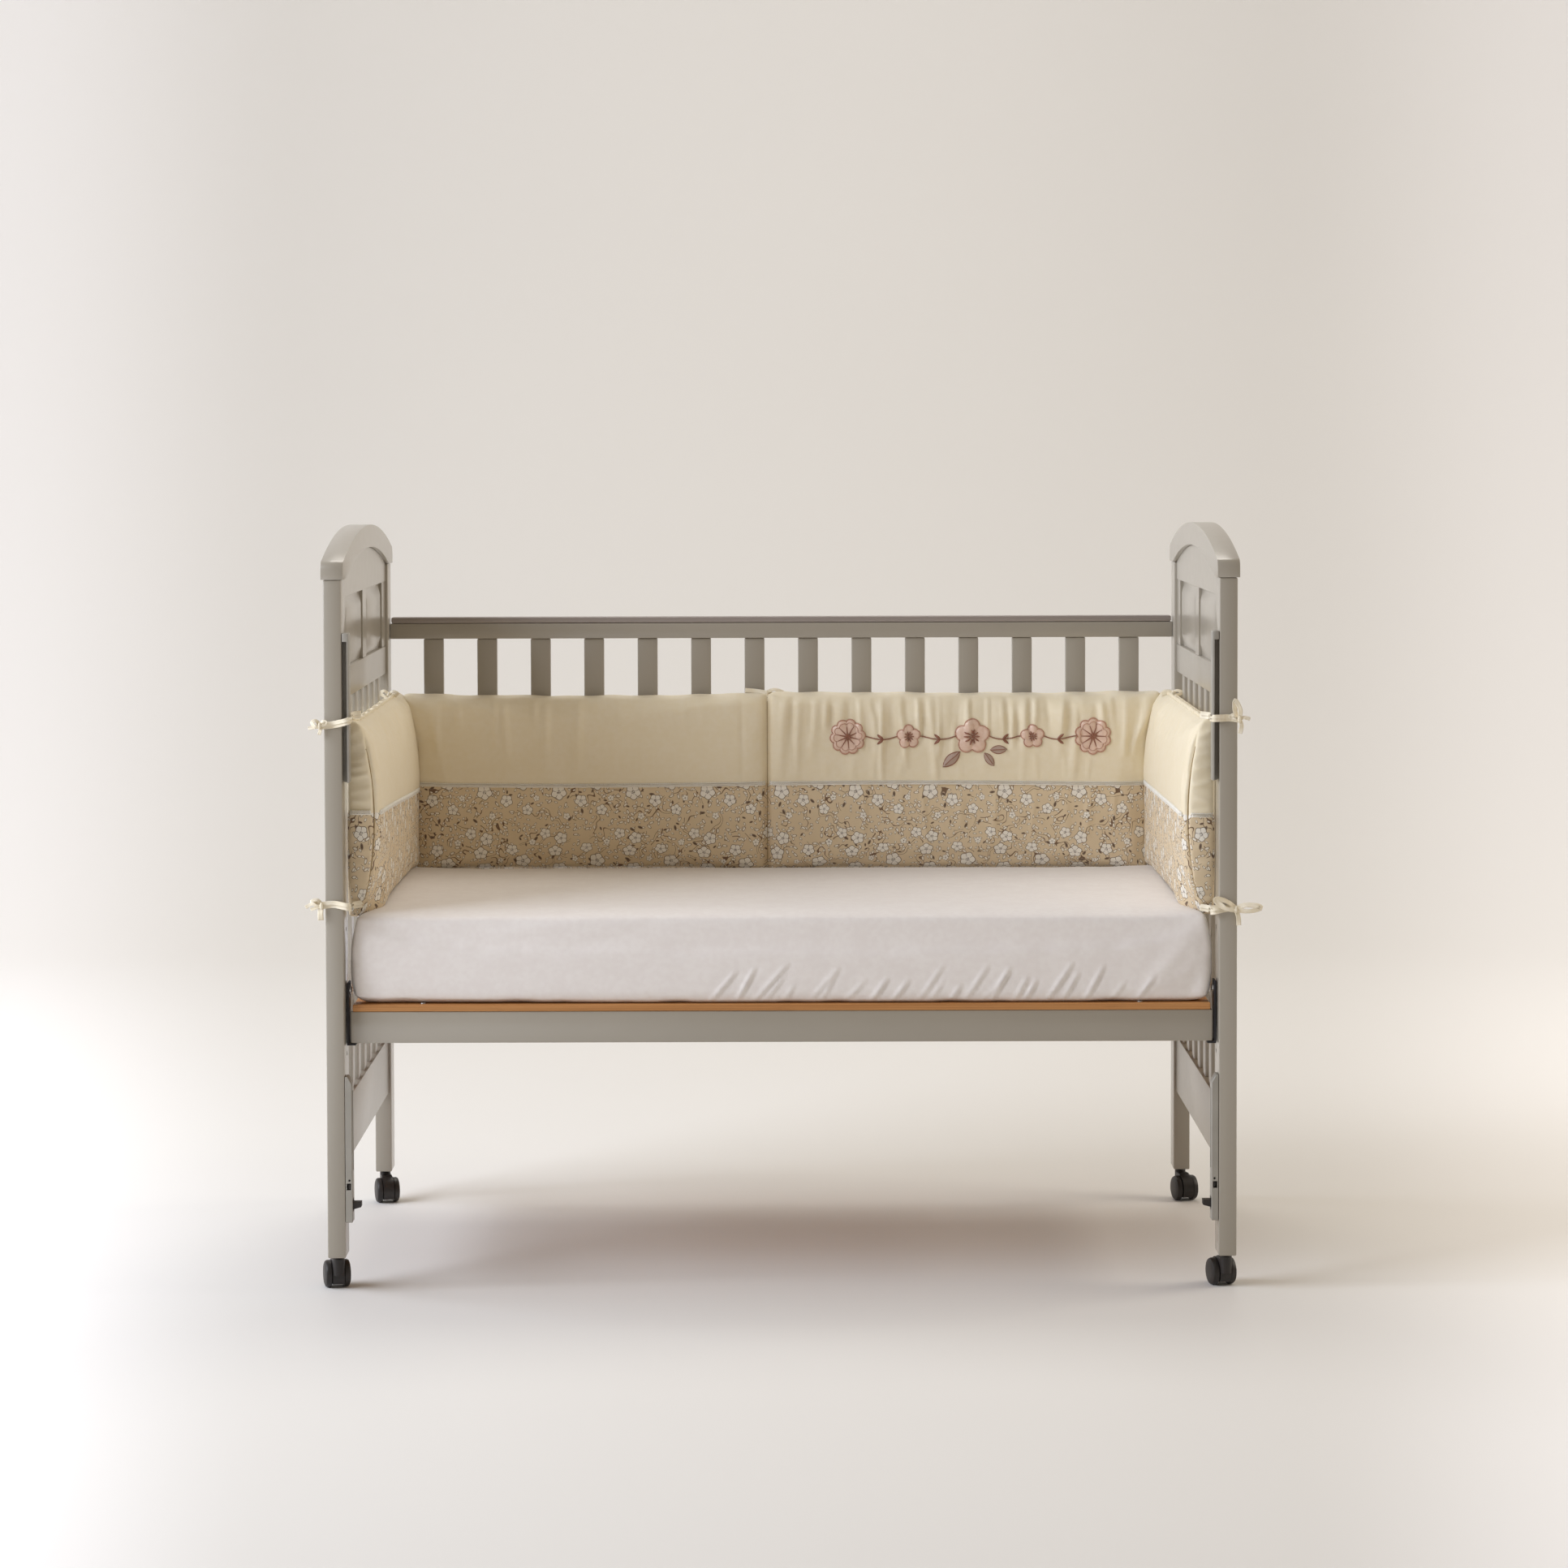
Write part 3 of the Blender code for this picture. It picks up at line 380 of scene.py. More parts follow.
def printed_cotton():
    material, tree, shader = new_material("screen_printed_cotton")
    flat = flat_cloth(tree)
    woven(tree, shader, flat, 1.2, 0.08 * MM, 1.5)
    cloud = add(tree, "TexNoise", {"Vector": flat, "Scale": 0.05, "Detail": 2.0})
    colour = add(tree, "Mix", {"Factor": cloud, "A": "DAC6A4", "B": "E0CEB0"}, data_type="RGBA").outputs[2]

    # Twining stems: level lines of a slow noise, about 0.7 mm wide and broken here and there.
    twine = add(tree, "TexNoise", {"Vector": flat, "Scale": 0.028, "Detail": 1.0},
                noise_dimensions="2D")
    line = band(tree, twine, 0.5, 0.0045, 0.006)
    second = band(tree, twine, 0.58, 0.004, 0.005)
    breaks = add(tree, "TexNoise", {"Vector": flat, "Scale": 0.045, "Detail": 0.0},
                 noise_dimensions="2D")
    kept = add(tree, "Math", {0: breaks, 1: 0.47}, operation="GREATER_THAN")
    stems = add(tree, "Math", {0: line, 1: second}, operation="MAXIMUM")
    stems = add(tree, "Math", {0: stems, 1: kept}, operation="MULTIPLY")
    colour = painted_over(tree, colour, stems, "7D6450")

    # Leaves and buds: one in each Voronoi cell, in two scatters, turned by the cell's colour.
    for spacing, length, seed in ((8.5, 3.3, 0.0), (13.0, 4.6, 37.0)):
        moved = add(tree, "VectorMath", {0: flat, 1: (seed, seed * 2, 0.0)}, operation="ADD")
        cells = add(tree, "TexVoronoi", {"Vector": moved, "Scale": 1 / spacing, "Randomness": 0.85},
                    voronoi_dimensions="2D")
        local = add(tree, "VectorMath", {0: moved, 1: cells.outputs["Position"]}, operation="SUBTRACT")
        chance = add(tree, "SeparateColor", {"Color": cells.outputs["Color"]})
        turn = add(tree, "Math", {0: chance.outputs["Red"], 1: 6.2832}, operation="MULTIPLY")
        turned = add(tree, "VectorRotate", {"Vector": local, "Angle": turn}, rotation_type="Z_AXIS")
        leaf = add(tree, "VectorMath", {0: turned, 1: (1 / length, 2.1 / length, 0.0)},
                   operation="MULTIPLY")
        reach = add(tree, "VectorMath", {0: leaf}, operation="LENGTH")
        there = add(tree, "Math", {0: chance.outputs["Green"], 1: 0.30}, operation="GREATER_THAN")
        dark = add(tree, "Math", {0: chance.outputs["Blue"], 1: 0.90}, operation="GREATER_THAN")
        inside = add(tree, "MapRange", {"Value": reach, "From Min": 0.72, "From Max": 0.60})
        outline = band(tree, reach, 0.80, 0.06, 0.14)
        for mask, ink in ((inside, "EFE8DA"), (outline, "8B7661")):
            shown = add(tree, "Math", {0: mask, 1: there}, operation="MULTIPLY")
            colour = painted_over(tree, colour, shown, ink)
        blot = add(tree, "Math", {0: dark, 1: there}, operation="MULTIPLY")
        blot = add(tree, "Math", {0: blot, 1: inside}, operation="MULTIPLY")
        colour = painted_over(tree, colour, blot, "6B584A")

    # Roses: white petals, a dark outline, notches between the petals and a stippled heart.
    rose = nearest_rose(tree, flat)
    reach = add(tree, "VectorMath", {0: rose}, operation="LENGTH")
    axes = add(tree, "SeparateXYZ", {"Vector": rose})
    angle = add(tree, "Math", {0: axes.outputs["Y"], 1: axes.outputs["X"]}, operation="ARCTAN2")
    petals = add(tree, "Math", {0: angle, 1: 5.0}, operation="MULTIPLY")
    swell = add(tree, "Math", {0: petals}, operation="COSINE")
    edge = add(tree, "Math", {0: swell, 1: 0.09, 2: 0.90}, operation="MULTIPLY_ADD")
    depth = add(tree, "Math", {0: reach, 1: edge}, operation="SUBTRACT")
    white = add(tree, "MapRange", {"Value": depth, "From Min": 0.02, "From Max": -0.02})
    colour = painted_over(tree, colour, white, "F2EDE2")
    rim = band(tree, depth, 0.02, 0.022, 0.04)
    colour = painted_over(tree, colour, rim, "75624F")
    notch = add(tree, "MapRange", {"Value": swell, "From Min": -0.95, "From Max": -0.995})
    long_enough = band(tree, reach, 0.56, 0.20, 0.04)
    lines = add(tree, "Math", {0: notch, 1: long_enough}, operation="MULTIPLY")
    colour = painted_over(tree, colour, lines, "7B6858")
    heart = add(tree, "TexNoise", {"Vector": flat, "Scale": 0.9, "Detail": 0.0})
    dots = add(tree, "Math", {0: heart, 1: 0.5}, operation="GREATER_THAN")
    near = add(tree, "MapRange", {"Value": reach, "From Min": 0.30, "From Max": 0.22})
    middle = add(tree, "Math", {0: dots, 1: near}, operation="MULTIPLY")
    colour = painted_over(tree, colour, middle, "66564B")

    tree.links.new(colour, shader.inputs["Base Color"])
    shader.inputs["Roughness"].default_value = 0.80
    shader.inputs["Sheen Weight"].default_value = 0.12
    shader.inputs["Specular IOR Level"].default_value = 0.25
    return material


print_cotton = printed_cotton()
print("printed cotton uses", len(print_cotton.node_tree.nodes), "nodes")

# %% [markdown]
# ## Satin and floss
# Embroidery floss is mercerised cotton, which is shiny along its strands. The flowers are cut
# from polyester satin, a cloth with a bright narrow gloss, and are sewn on over a little wadding.

# %% Thread and satin
def glossy_cloth(name, colour, second, roughness, pitch):
    """A shiny cloth or floss with fine ribs across it."""
    material, tree, shader = new_material(name)
    place = add(tree, "TexCoord").outputs["Object"]
    patch = add(tree, "TexNoise", {"Vector": place, "Scale": 160.0, "Detail": 2.0})
    tone = add(tree, "Mix", {"Factor": patch, "A": colour, "B": second}, data_type="RGBA")
    tree.links.new(tone.outputs[2], shader.inputs["Base Color"])
    ribs = add(tree, "TexWave", {"Vector": place, "Scale": 1 / (20 * pitch), "Distortion": 1.5},
               bands_direction="DIAGONAL")
    bump = add(tree, "Bump", {"Height": ribs, "Distance": 0.10 * MM, "Strength": 0.5})
    tree.links.new(bump.outputs[0], shader.inputs["Normal"])
    shader.inputs["Roughness"].default_value = roughness
    shader.inputs["Sheen Weight"].default_value = 0.2
    return material


petal_satin = glossy_cloth("dusty_rose_satin", "DBB7A0", "EED6C6", 0.24, 0.9 * MM)
rim_floss = glossy_cloth("rose_embroidery_floss", "B68670", "C79A84", 0.42, 0.7 * MM)
brown_floss = glossy_cloth("brown_embroidery_floss", "8A5540", "A06E56", 0.45, 0.7 * MM)
leaf_satin = glossy_cloth("taupe_leaf_satin", "AC9385", "BDA798", 0.40, 0.9 * MM)

# %% [markdown]
# ## Padded cloth
# A pad starts as a box with rounded edges, made of quads about 6 mm wide. It could be a sculpted
# cushion, but real padding gets its shape from being sewn: the seams stay put, and the cloth
# between them swells and wrinkles. So the seams are held, the pad is blown up by the Cloth
# simulation with a little spare cloth, and each point may move only a few millimetres.

# %% Build a pad's skin
QUAD = 0.006         # how wide the quads of a pad are
ON_FACE = 1e-6       # how near to a face of the box a point is taken to lie on it


def grid_lines(low, high, step, extra=()):
    """Coordinates from low to high about step apart, with extra lines put in exactly."""
    stops = sorted({low, high, *(v for v in extra if low < v < high)})
    lines = [low]
    for start, end in zip(stops, stops[1:]):
        parts = max(1, round((end - start) / step))
        lines += [start + (end - start) * (part + 1) / parts for part in range(parts)]
    return lines


def box_skin(lines):
    """The skin of a box as points and quads that face outwards."""
    index, points, faces = {}, [], []
    for axis in range(3):
        across, up = (axis + 1) % 3, (axis + 2) % 3
        for end in (0, len(lines[axis]) - 1):
            for i in range(len(lines[across]) - 1):
                for j in range(len(lines[up]) - 1):
                    quad = []
                    for right, above in ((0, 0), (1, 0), (1, 1), (0, 1)):
                        place = [0, 0, 0]
                        place[axis], place[across], place[up] = end, i + right, j + above
                        key = tuple(place)
                        if key not in index:
                            index[key] = len(points)
                            points.append([lines[a][key[a]] for a in range(3)])
                        quad.append(index[key])
                    faces.append(quad if end else quad[::-1])
    return np.array(points), faces


def round_box(points, low, high, radius):
    """Moves the skin of a box in, so that its edges are rounded."""
    core = np.clip(points, low + radius, high - radius)
    away = points - core
    length = np.linalg.norm(away, axis=1, keepdims=True)
    return core + away / np.maximum(length, 1e-9) * radius


def smooth(value, start, end):
    """0 before start, 1 after end, and a smooth step between them."""
    t = np.clip((value - start) / (end - start), 0, 1)
    return t * t * (3 - 2 * t)


def soft_object(name, points, faces, materials, flat):
    """A mesh object that carries its cloth's flat coordinates."""
    mesh = bpy.data.meshes.new(name)
    mesh.from_pydata([tuple(p) for p in points], [], faces)
    for material in materials:
        mesh.materials.append(material)
    stored = mesh.attributes.new("flat_cloth", "FLOAT_VECTOR", "POINT")
    level = np.zeros(len(flat))
    stored.data.foreach_set("vector", np.column_stack([flat, level]).astype(np.float32).ravel())
    mesh.shade_smooth()
    thing = bpy.data.objects.new(name, mesh)
    bpy.context.scene.collection.objects.link(thing)
    return thing


def coordinates(mesh):
    """All points of a mesh as an array."""
    values = np.empty(len(mesh.vertices) * 3, np.float32)
    mesh.vertices.foreach_get("co", values)
    return values.reshape(-1, 3).astype(float)

# %% [markdown]
# ### Swelling
# Cloth's pressure setting pushes every face outward, as stuffing does. Gravity is off, because the
# pad is held by its ties. A raw result shows the grid it was made on, so each point's movement is
# averaged with its neighbours' before it is limited, and one subdivision then makes room for folds.

# %% Swell a pad with the Cloth simulation
def evened(mesh, moved, rounds):
    """The movement with its grid-sized noise averaged away between neighbours."""
    pairs = np.empty(len(mesh.edges) * 2, np.int32)
    mesh.edges.foreach_get("vertices", pairs)
    first, second = pairs.reshape(-1, 2).T
    count = np.bincount(pairs, minlength=len(moved))[:, None]
    for _ in range(rounds):
        total = np.zeros_like(moved)
        np.add.at(total, first, moved[second])
        np.add.at(total, second, moved[first])
        moved = 0.5 * moved + 0.5 * total / count
    return moved


CALM_ROUNDS = 3      # how often a movement is averaged with its neighbours
CLOTH_STEPS = 20     # frames that the simulation runs


def swell(thing, held, pressure, spare, cap):
    """Blows the pad up while its held points stay, and keeps the result as its mesh."""
    start = coordinates(thing.data)
    group = thing.vertex_groups.new(name="held")
    for index, weight in enumerate(held):
        if weight > 0.02:
            group.add([index], float(weight), "REPLACE")
    cloth = thing.modifiers.new("cloth", "CLOTH")
    cloth.settings.quality = 5
    cloth.settings.mass = 0.2
    cloth.settings.tension_stiffness = 12
    cloth.settings.compression_stiffness = 12
    cloth.settings.shear_stiffness = 4
    cloth.settings.bending_stiffness = 0.15
    cloth.settings.vertex_group_mass = "held"
    cloth.settings.use_pressure = True
    cloth.settings.uniform_pressure_force = pressure
    cloth.settings.shrink_min = -spare
    cloth.settings.effector_weights.gravity = 0
    cloth.collision_settings.use_collision = False
    for step in range(1, CLOTH_STEPS + 1):
        bpy.context.scene.frame_set(step)
    graph = bpy.context.evaluated_depsgraph_get()
    moved = coordinates(thing.evaluated_get(graph).data) - start
    thing.modifiers.remove(cloth)
    thing.vertex_groups.clear()
    moved = evened(thing.data, moved, CALM_ROUNDS)
    length = np.linalg.norm(moved, axis=1, keepdims=True)
    moved *= np.minimum(1, cap / np.maximum(length, 1e-9))
    set_points(thing, start + moved)
    print(thing.name, "swelled by up to", round(float(length.max()) * 1000, 1), "mm")
    return start


def set_points(thing, points):
    """Gives a mesh its new points."""
    thing.data.vertices.foreach_set("co", points.astype(np.float32).ravel())
    thing.data.update()


def refined(thing, rest):
    """Splits every quad in four, and returns where each point of the finer mesh started."""
    stored = thing.data.attributes.new("rest_place", "FLOAT_VECTOR", "POINT")
    stored.data.foreach_set("vector", rest.astype(np.float32).ravel())
    split = thing.modifiers.new("split", "SUBSURF")
    split.levels = 1
    graph = bpy.context.evaluated_depsgraph_get()
    mesh = bpy.data.meshes.new_from_object(thing.evaluated_get(graph), preserve_all_data_layers=True,
                                           depsgraph=graph)
    thing.modifiers.remove(split)
    thing.data = mesh
    places = np.empty(len(mesh.vertices) * 3, np.float32)
    mesh.attributes["rest_place"].data.foreach_get("vector", places)
    mesh.attributes.remove(mesh.attributes["rest_place"])
    print(thing.name, "now has", len(mesh.polygons), "faces")
    return places.reshape(-1, 3).astype(float)

# %% [markdown]
# ## Wrinkles
# The simulation gives the swelling and some small unevenness. The folds that tell how a piece was
# sewn or pulled are put in as soft ridges, each one a line on the cloth with a width and
# a height. A ridge fades at its two ends, as a real fold does.

# %% Soft ridges
def ridge(flat, start, end, width, height):
    """How far each point of the cloth is raised by one fold from start to end."""
    start, end = np.array(start), np.array(end)
    along = end - start
    share = np.clip(((flat - start) @ along) / (along @ along), 0, 1)
    away = np.linalg.norm(flat - (start + share[:, None] * along), axis=1)
    fade = np.sin(math.pi * np.clip(share * 0.9 + 0.05, 0, 1)) ** 0.7
    return height * fade * np.exp(-((away / width) ** 2))


def raise_along(points, direction, amount):
    """Moves points along one direction by an amount for each."""
    return points + amount[:, None] * np.array(direction, float)

# %% [markdown]
# ## The mattress in its fitted sheet
# The mattress is a block of foam 1.2 m long. Its fitted sheet is one jersey rectangle whose
# corners are darted and whose hem is drawn in by elastic under the mattress. The pull of the
# elastic rounds the corners and gathers short slanting puckers along the lower edge, most of them
# toward the right. The foam and the sheet are swelled together, and then parted: the sheet is the
# outer skin with its thin hem, open underneath, and the foam lies just inside it.

# %% Shape the mattress
def make_mattress():
    size = bed_high - bed_low
    shrink = np.array([-0.003, 0.002, -0.0005])
    low, high = bed_low + shrink, bed_high - shrink
    lines = [grid_lines(low[0], high[0], QUAD), grid_lines(low[1], high[1], 2 * QUAD),
             grid_lines(low[2], high[2], QUAD)]
    points, faces = box_skin(lines)
    height = high[2] - low[2]
    rest = points.copy()
    # The elastic pulls the ends in, above and below, more at the corners than along the sides.
    radius = np.where(rest[:, 2:] > (low[2] + high[2]) / 2, 0.006, 0.012)
    points = round_box(points, low, high, radius)
    share = (points[:, 2] - low[2]) / height
    pull = 1 - 4 * (share - 0.5) ** 2
    for axis, depth in ((0, 0.007), (1, 0.0015)):
        edge = np.abs(points[:, axis] - (low[axis] + high[axis]) / 2) / ((high[axis] - low[axis]) / 2)
        inward = np.sign(points[:, axis] - (low[axis] + high[axis]) / 2)
        points[:, axis] -= inward * depth * (1 - pull) * smooth(edge, 0.80, 1.0)
    front = rest[:, 1] < low[1] + ON_FACE
    flat = np.column_stack([rest[:, 0], np.where(front, rest[:, 2], rest[:, 2] + rest[:, 1] - low[1])])
    thing = soft_object("mattress_foam", points, faces, [jersey], flat)
    under = rest[:, 2] < low[2] + ON_FACE
    core = under & (np.abs(rest[:, 0]) < high[0] - 0.03)
    held = np.where(core, 1.0, 0.0)
    swell(thing, held, 1.4, 0.003, 0.003)
    return thing, refined(thing, rest), low, high


foam, foam_rest, foam_low, foam_high = make_mattress()

# %% [markdown]
# ### Puckers
# Where elastic draws up a hem, the spare cloth stands in short slanting folds, each with a valley
# beside it. A simulation fine enough for them would take minutes, so each is a pair of ridges, one
# up and one down, with a drawn length, height and lean.

# %% Puckers along the hem
def pucker(thing, rest, low, high):
    points = coordinates(thing.data)
    draw = random.Random(5)
    front = smooth(-rest[:, 1], -low[1] - 0.03, -low[1])
    flat = rest[:, [0, 2]]
    amount = np.zeros(len(points))
    at = -0.10
    while at < 0.50:
        reach = draw.uniform(0.022, 0.055)
        height = draw.uniform(0.0014, 0.0032)
        lean = draw.uniform(0.55, 0.95)
        foot = (at, low[2] + 0.003)
        tip = (at + reach * lean, foot[1] + reach)
        amount += ridge(flat, foot, tip, 0.0028, height)
        amount -= ridge(flat, (foot[0] + 0.005, foot[1]), (tip[0] + 0.005, tip[1]), 0.0030, height * 0.6)
        at += draw.uniform(0.012, 0.038)
    # A few wide shallow drapes high on the left, where the jersey hangs slack.
    for start, end, width, height in (((-0.40, 0.500), (-0.26, 0.514), 0.010, 0.0022),
                                      ((-0.38, 0.480), (-0.20, 0.512), 0.012, 0.0018),
                                      ((-0.30, 0.470), (-0.12, 0.500), 0.014, 0.0014),
                                      ((0.50, 0.410), (0.57, 0.490), 0.012, 0.0020)):
        amount += ridge(flat, start, end, width, height)
    # The hem dips and lifts by a millimetre or two.
    hem = smooth(-rest[:, 2], -low[2] - 0.012, -low[2])
    ripple = 0.0010 * np.sin(rest[:, 0] * 31) + 0.0008 * np.sin(rest[:, 0] * 83 + 1)
    points = raise_along(points, (0, -1, 0), amount * front)
    # Toward the left it stands off the board a little, and leaves a dark gap.
    lifted = 0.0035 * (1 - smooth(rest[:, 0], -0.55, -0.15)) + 0.0015 * smooth(rest[:, 0], 0.35, 0.55)
    points[:, 2] += (np.maximum(ripple, 0) + lifted) * hem * front
    set_points(thing, points)


pucker(foam, foam_rest, foam_low, foam_high)

# %% [markdown]
# ### Sheet and foam
# The sheet is one piece of cloth and the foam another, so they are parted here. The sheet could be
# draped over the foam, but a copy of the foam's own skin fits it exactly. The faces underneath,
# beyond the hem, are taken away, and Solidify gives the jersey its 0.8 mm.

# %% Part the sheet from the foam
HEM_UNDER = 0.035


def fitted_sheet(thing, rest, low, high):
    """A copy of the outer skin, open underneath, with a thickness of 0.8 mm."""
    sheet = bpy.data.objects.new("fitted_sheet", thing.data.copy())
    bpy.context.scene.collection.objects.link(sheet)
    skin = bmesh.new()
    skin.from_mesh(sheet.data)
    skin.verts.ensure_lookup_table()
    hidden = []
    for face in skin.faces:
        spots = np.array([rest[v.index] for v in face.verts])
        below = spots[:, 2].max() < low[2] + ON_FACE
        inner = (np.abs(spots[:, 0]).max() < high[0] - HEM_UNDER
                 and spots[:, 1].min() > low[1] + HEM_UNDER and spots[:, 1].max() < high[1] - HEM_UNDER)
        if below and inner:
            hidden.append(face)
    bmesh.ops.delete(skin, geom=hidden, context="FACES")
    skin.to_mesh(sheet.data)
    skin.free()
    thick = sheet.modifiers.new("jersey_thickness", "SOLIDIFY")
    thick.thickness = 0.0008
    thick.offset = 1.0
    return sheet


sheet = fitted_sheet(foam, foam_rest, foam_low, foam_high)
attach(foam, "frame")
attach(sheet, "frame")
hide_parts("mattress")

# %% [markdown]
# ## The bumper along the back
# The back of the bumper is two pads in one strip, joined by a seam a little left of the middle.
# Cream sateen above meets the printed cotton below at a seam that the lace covers. The seams are
# held during the swelling, and so is the far side, which lies against the slats.

# %% Shape the back of the bumper
SUNK = 0.0030        # how far the pads press into the mattress
LACE_Z = 0.652
JOIN_X = -0.022


def two_tone(thing, rest, seam_z):
    """Sateen above the lace seam and printed cotton below it."""
    for face in thing.data.polygons:
        middle = np.mean([rest[v][2] for v in face.vertices])
        face.material_index = 0 if middle > seam_z else 1


def gathers(flat, start, end, top, count, seed, height, reach):
    """Short upright folds that run down from a gathered seam."""
    draw = random.Random(seed)
    amount = np.zeros(len(flat))
    for number in range(count):
        at = start + (end - start) * (number + draw.uniform(0.15, 0.85)) / count
        length = draw.uniform(*reach)
        lean = draw.uniform(-0.10, 0.10) * length
        width = draw.uniform(0.0028, 0.0075)
        amount += ridge(flat, (at, top), (at + lean, top - length), width, draw.uniform(0.5, 1) * height)
    return amount


def make_back_pad():
    low = np.array([back_low[0], back_low[1] + 0.006, bed_high[2] - SUNK])
    high = back_high + np.array([0.0, -0.001, 0.003])
    lines = [grid_lines(low[0], high[0], QUAD, (JOIN_X,)), grid_lines(low[1], high[1], QUAD),
             grid_lines(low[2], high[2], QUAD, (LACE_Z,))]
    rest, faces = box_skin(lines)
    radius = np.where(rest[:, 2:] < LACE_Z, 0.006, 0.013)
    points = round_box(rest, low, high, radius)
    # The lower back corner settles over the mattress's rounded edge.
    sunk = smooth(rest[:, 1], 0.268, 0.300) * (1 - smooth(rest[:, 2], low[2], low[2] + 0.02))
    points[:, 2] -= 0.006 * sunk
    # The top corners reach out behind the arms, which are thinner there.
    outward = smooth(np.abs(rest[:, 0]), high[0] - 0.04, high[0]) * smooth(rest[:, 2], 0.70, 0.77)
    points[:, 0] += 0.022 * outward * np.sign(rest[:, 0])
    # Under the pad the cloth's height goes on downward, so that the print turns under it.
    under = np.minimum(rest[:, 1] - low[1], high[1] - rest[:, 1]) * (rest[:, 2] < low[2] + ON_FACE)
    flat = np.column_stack([rest[:, 0], rest[:, 2] - under])
    front = smooth(-rest[:, 1], -low[1] - 0.02, -low[1])
    thing = soft_object("bumper_back_pad", points, faces, [sateen, print_cotton], flat)
    two_tone(thing, rest, LACE_Z)
    join = np.exp(-((rest[:, 0] - JOIN_X) / 0.004) ** 2)
    lace = np.exp(-((rest[:, 2] - LACE_Z) / 0.004) ** 2) * front
    behind = (rest[:, 1] > high[1] - ON_FACE).astype(float)
    ends = (np.abs(rest[:, 0]) > high[0] - 0.004).astype(float)
    held = np.clip(join + 0.12 * lace + behind + ends, 0, 1)
    swell(thing, held, 4.0, 0.02, 0.007)
    rest = refined(thing, rest)
    points = coordinates(thing.data)
    flat = rest[:, [0, 2]]
    front = smooth(-rest[:, 1], -low[1] - 0.02, -low[1])
    top, bottom = high[2] - 0.004, low[2]
    rows = [  # from, to, upper end, how many, seed, height and shortest and longest reach
        (-0.54, -0.30, top, 7, 3, 0.0050, (0.05, 0.12)),
        (-0.30, -0.06, top, 7, 4, 0.0018, (0.02, 0.07)),
        (0.00, 0.56, top, 26, 8, 0.0060, (0.05, 0.135)),
        (0.01, 0.55, top, 22, 18, -0.0040, (0.03, 0.10)),
        (0.05, 0.55, LACE_Z + 0.045, 12, 9, 0.0016, (0.03, 0.05)),
        (0.10, 0.55, LACE_Z - 0.004, 9, 10, 0.0022, (0.05, 0.11)),
        (-0.53, -0.08, LACE_Z - 0.004, 7, 11, 0.0010, (0.04, 0.08)),
        (-0.50, 0.50, bottom + 0.035, 16, 12, 0.0012, (0.02, 0.03)),
    ]
    amount = sum(gathers(flat, *row) for row in rows)
    # The join is a deep valley, with a shallower fold down each side of it.
    for seam_x in (JOIN_X - 0.041, JOIN_X + 0.041):
        amount -= ridge(flat, (seam_x, top), (seam_x + 0.002, LACE_Z), 0.0035, 0.0022)
    amount -= 0.010 * np.exp(-((rest[:, 0] - JOIN_X) / 0.0055) ** 2)
    points = raise_along(points, (0, -1, 0), amount * front)
    # The top edge ripples, and dips where the two pads meet.
    crown = smooth(rest[:, 2], high[2] - 0.03, high[2])
    along = rest[:, 0]
    wave = 0.0005 * np.sin(along * 42) + 0.0005 * np.sin(along * 97 + 2) + 0.0006 * np.sin(along * 9 + 1)
    dip = 0.0040 * np.exp(-((along - JOIN_X) / 0.008) ** 2)
    taller = 0.0025 * smooth(along, JOIN_X, JOIN_X + 0.10)
    points[:, 2] += (wave - dip + taller) * crown
    set_points(thing, points)
    return thing


back_pad = make_back_pad()
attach(back_pad, "frame")
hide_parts("bumper_back")

# %% [markdown]
# ## The bumper's two arms
# Each arm lies along an end of the cot. Its front end is boxed: a strip of the same cloths is let
# in, so the pad ends in a flat face that is widest half way up and pinches in at the top and the
# bottom corner, where the ties are sewn on. The shape is one function of height, used for both.

# %% Shape the arms
def arm_width(height, depth):
    """How thick an arm is, as a share, at a height from 0 to 1 and a depth in from its front."""
    bowed = 0.40 + 0.64 * np.sin(math.pi * np.clip(height, 0, 1)) ** 0.6
    behind = smooth(depth, 0.015, 0.070)
    return np.where(height < 0.5, bowed + (1.0 - bowed) * behind, bowed)


ARM_LACE = {"left": (0.667, 0.6435), "right": (0.660, 0.653)}  # its height in front and at the back


def lace_level(side_name, y):
    """Height of the lace along an arm, from its front end to the corner."""
    front, corner = ARM_LACE[side_name]
    return front + (corner - front) * smooth(y, arm_low[1] - 0.10, back_low[1] + 0.10)


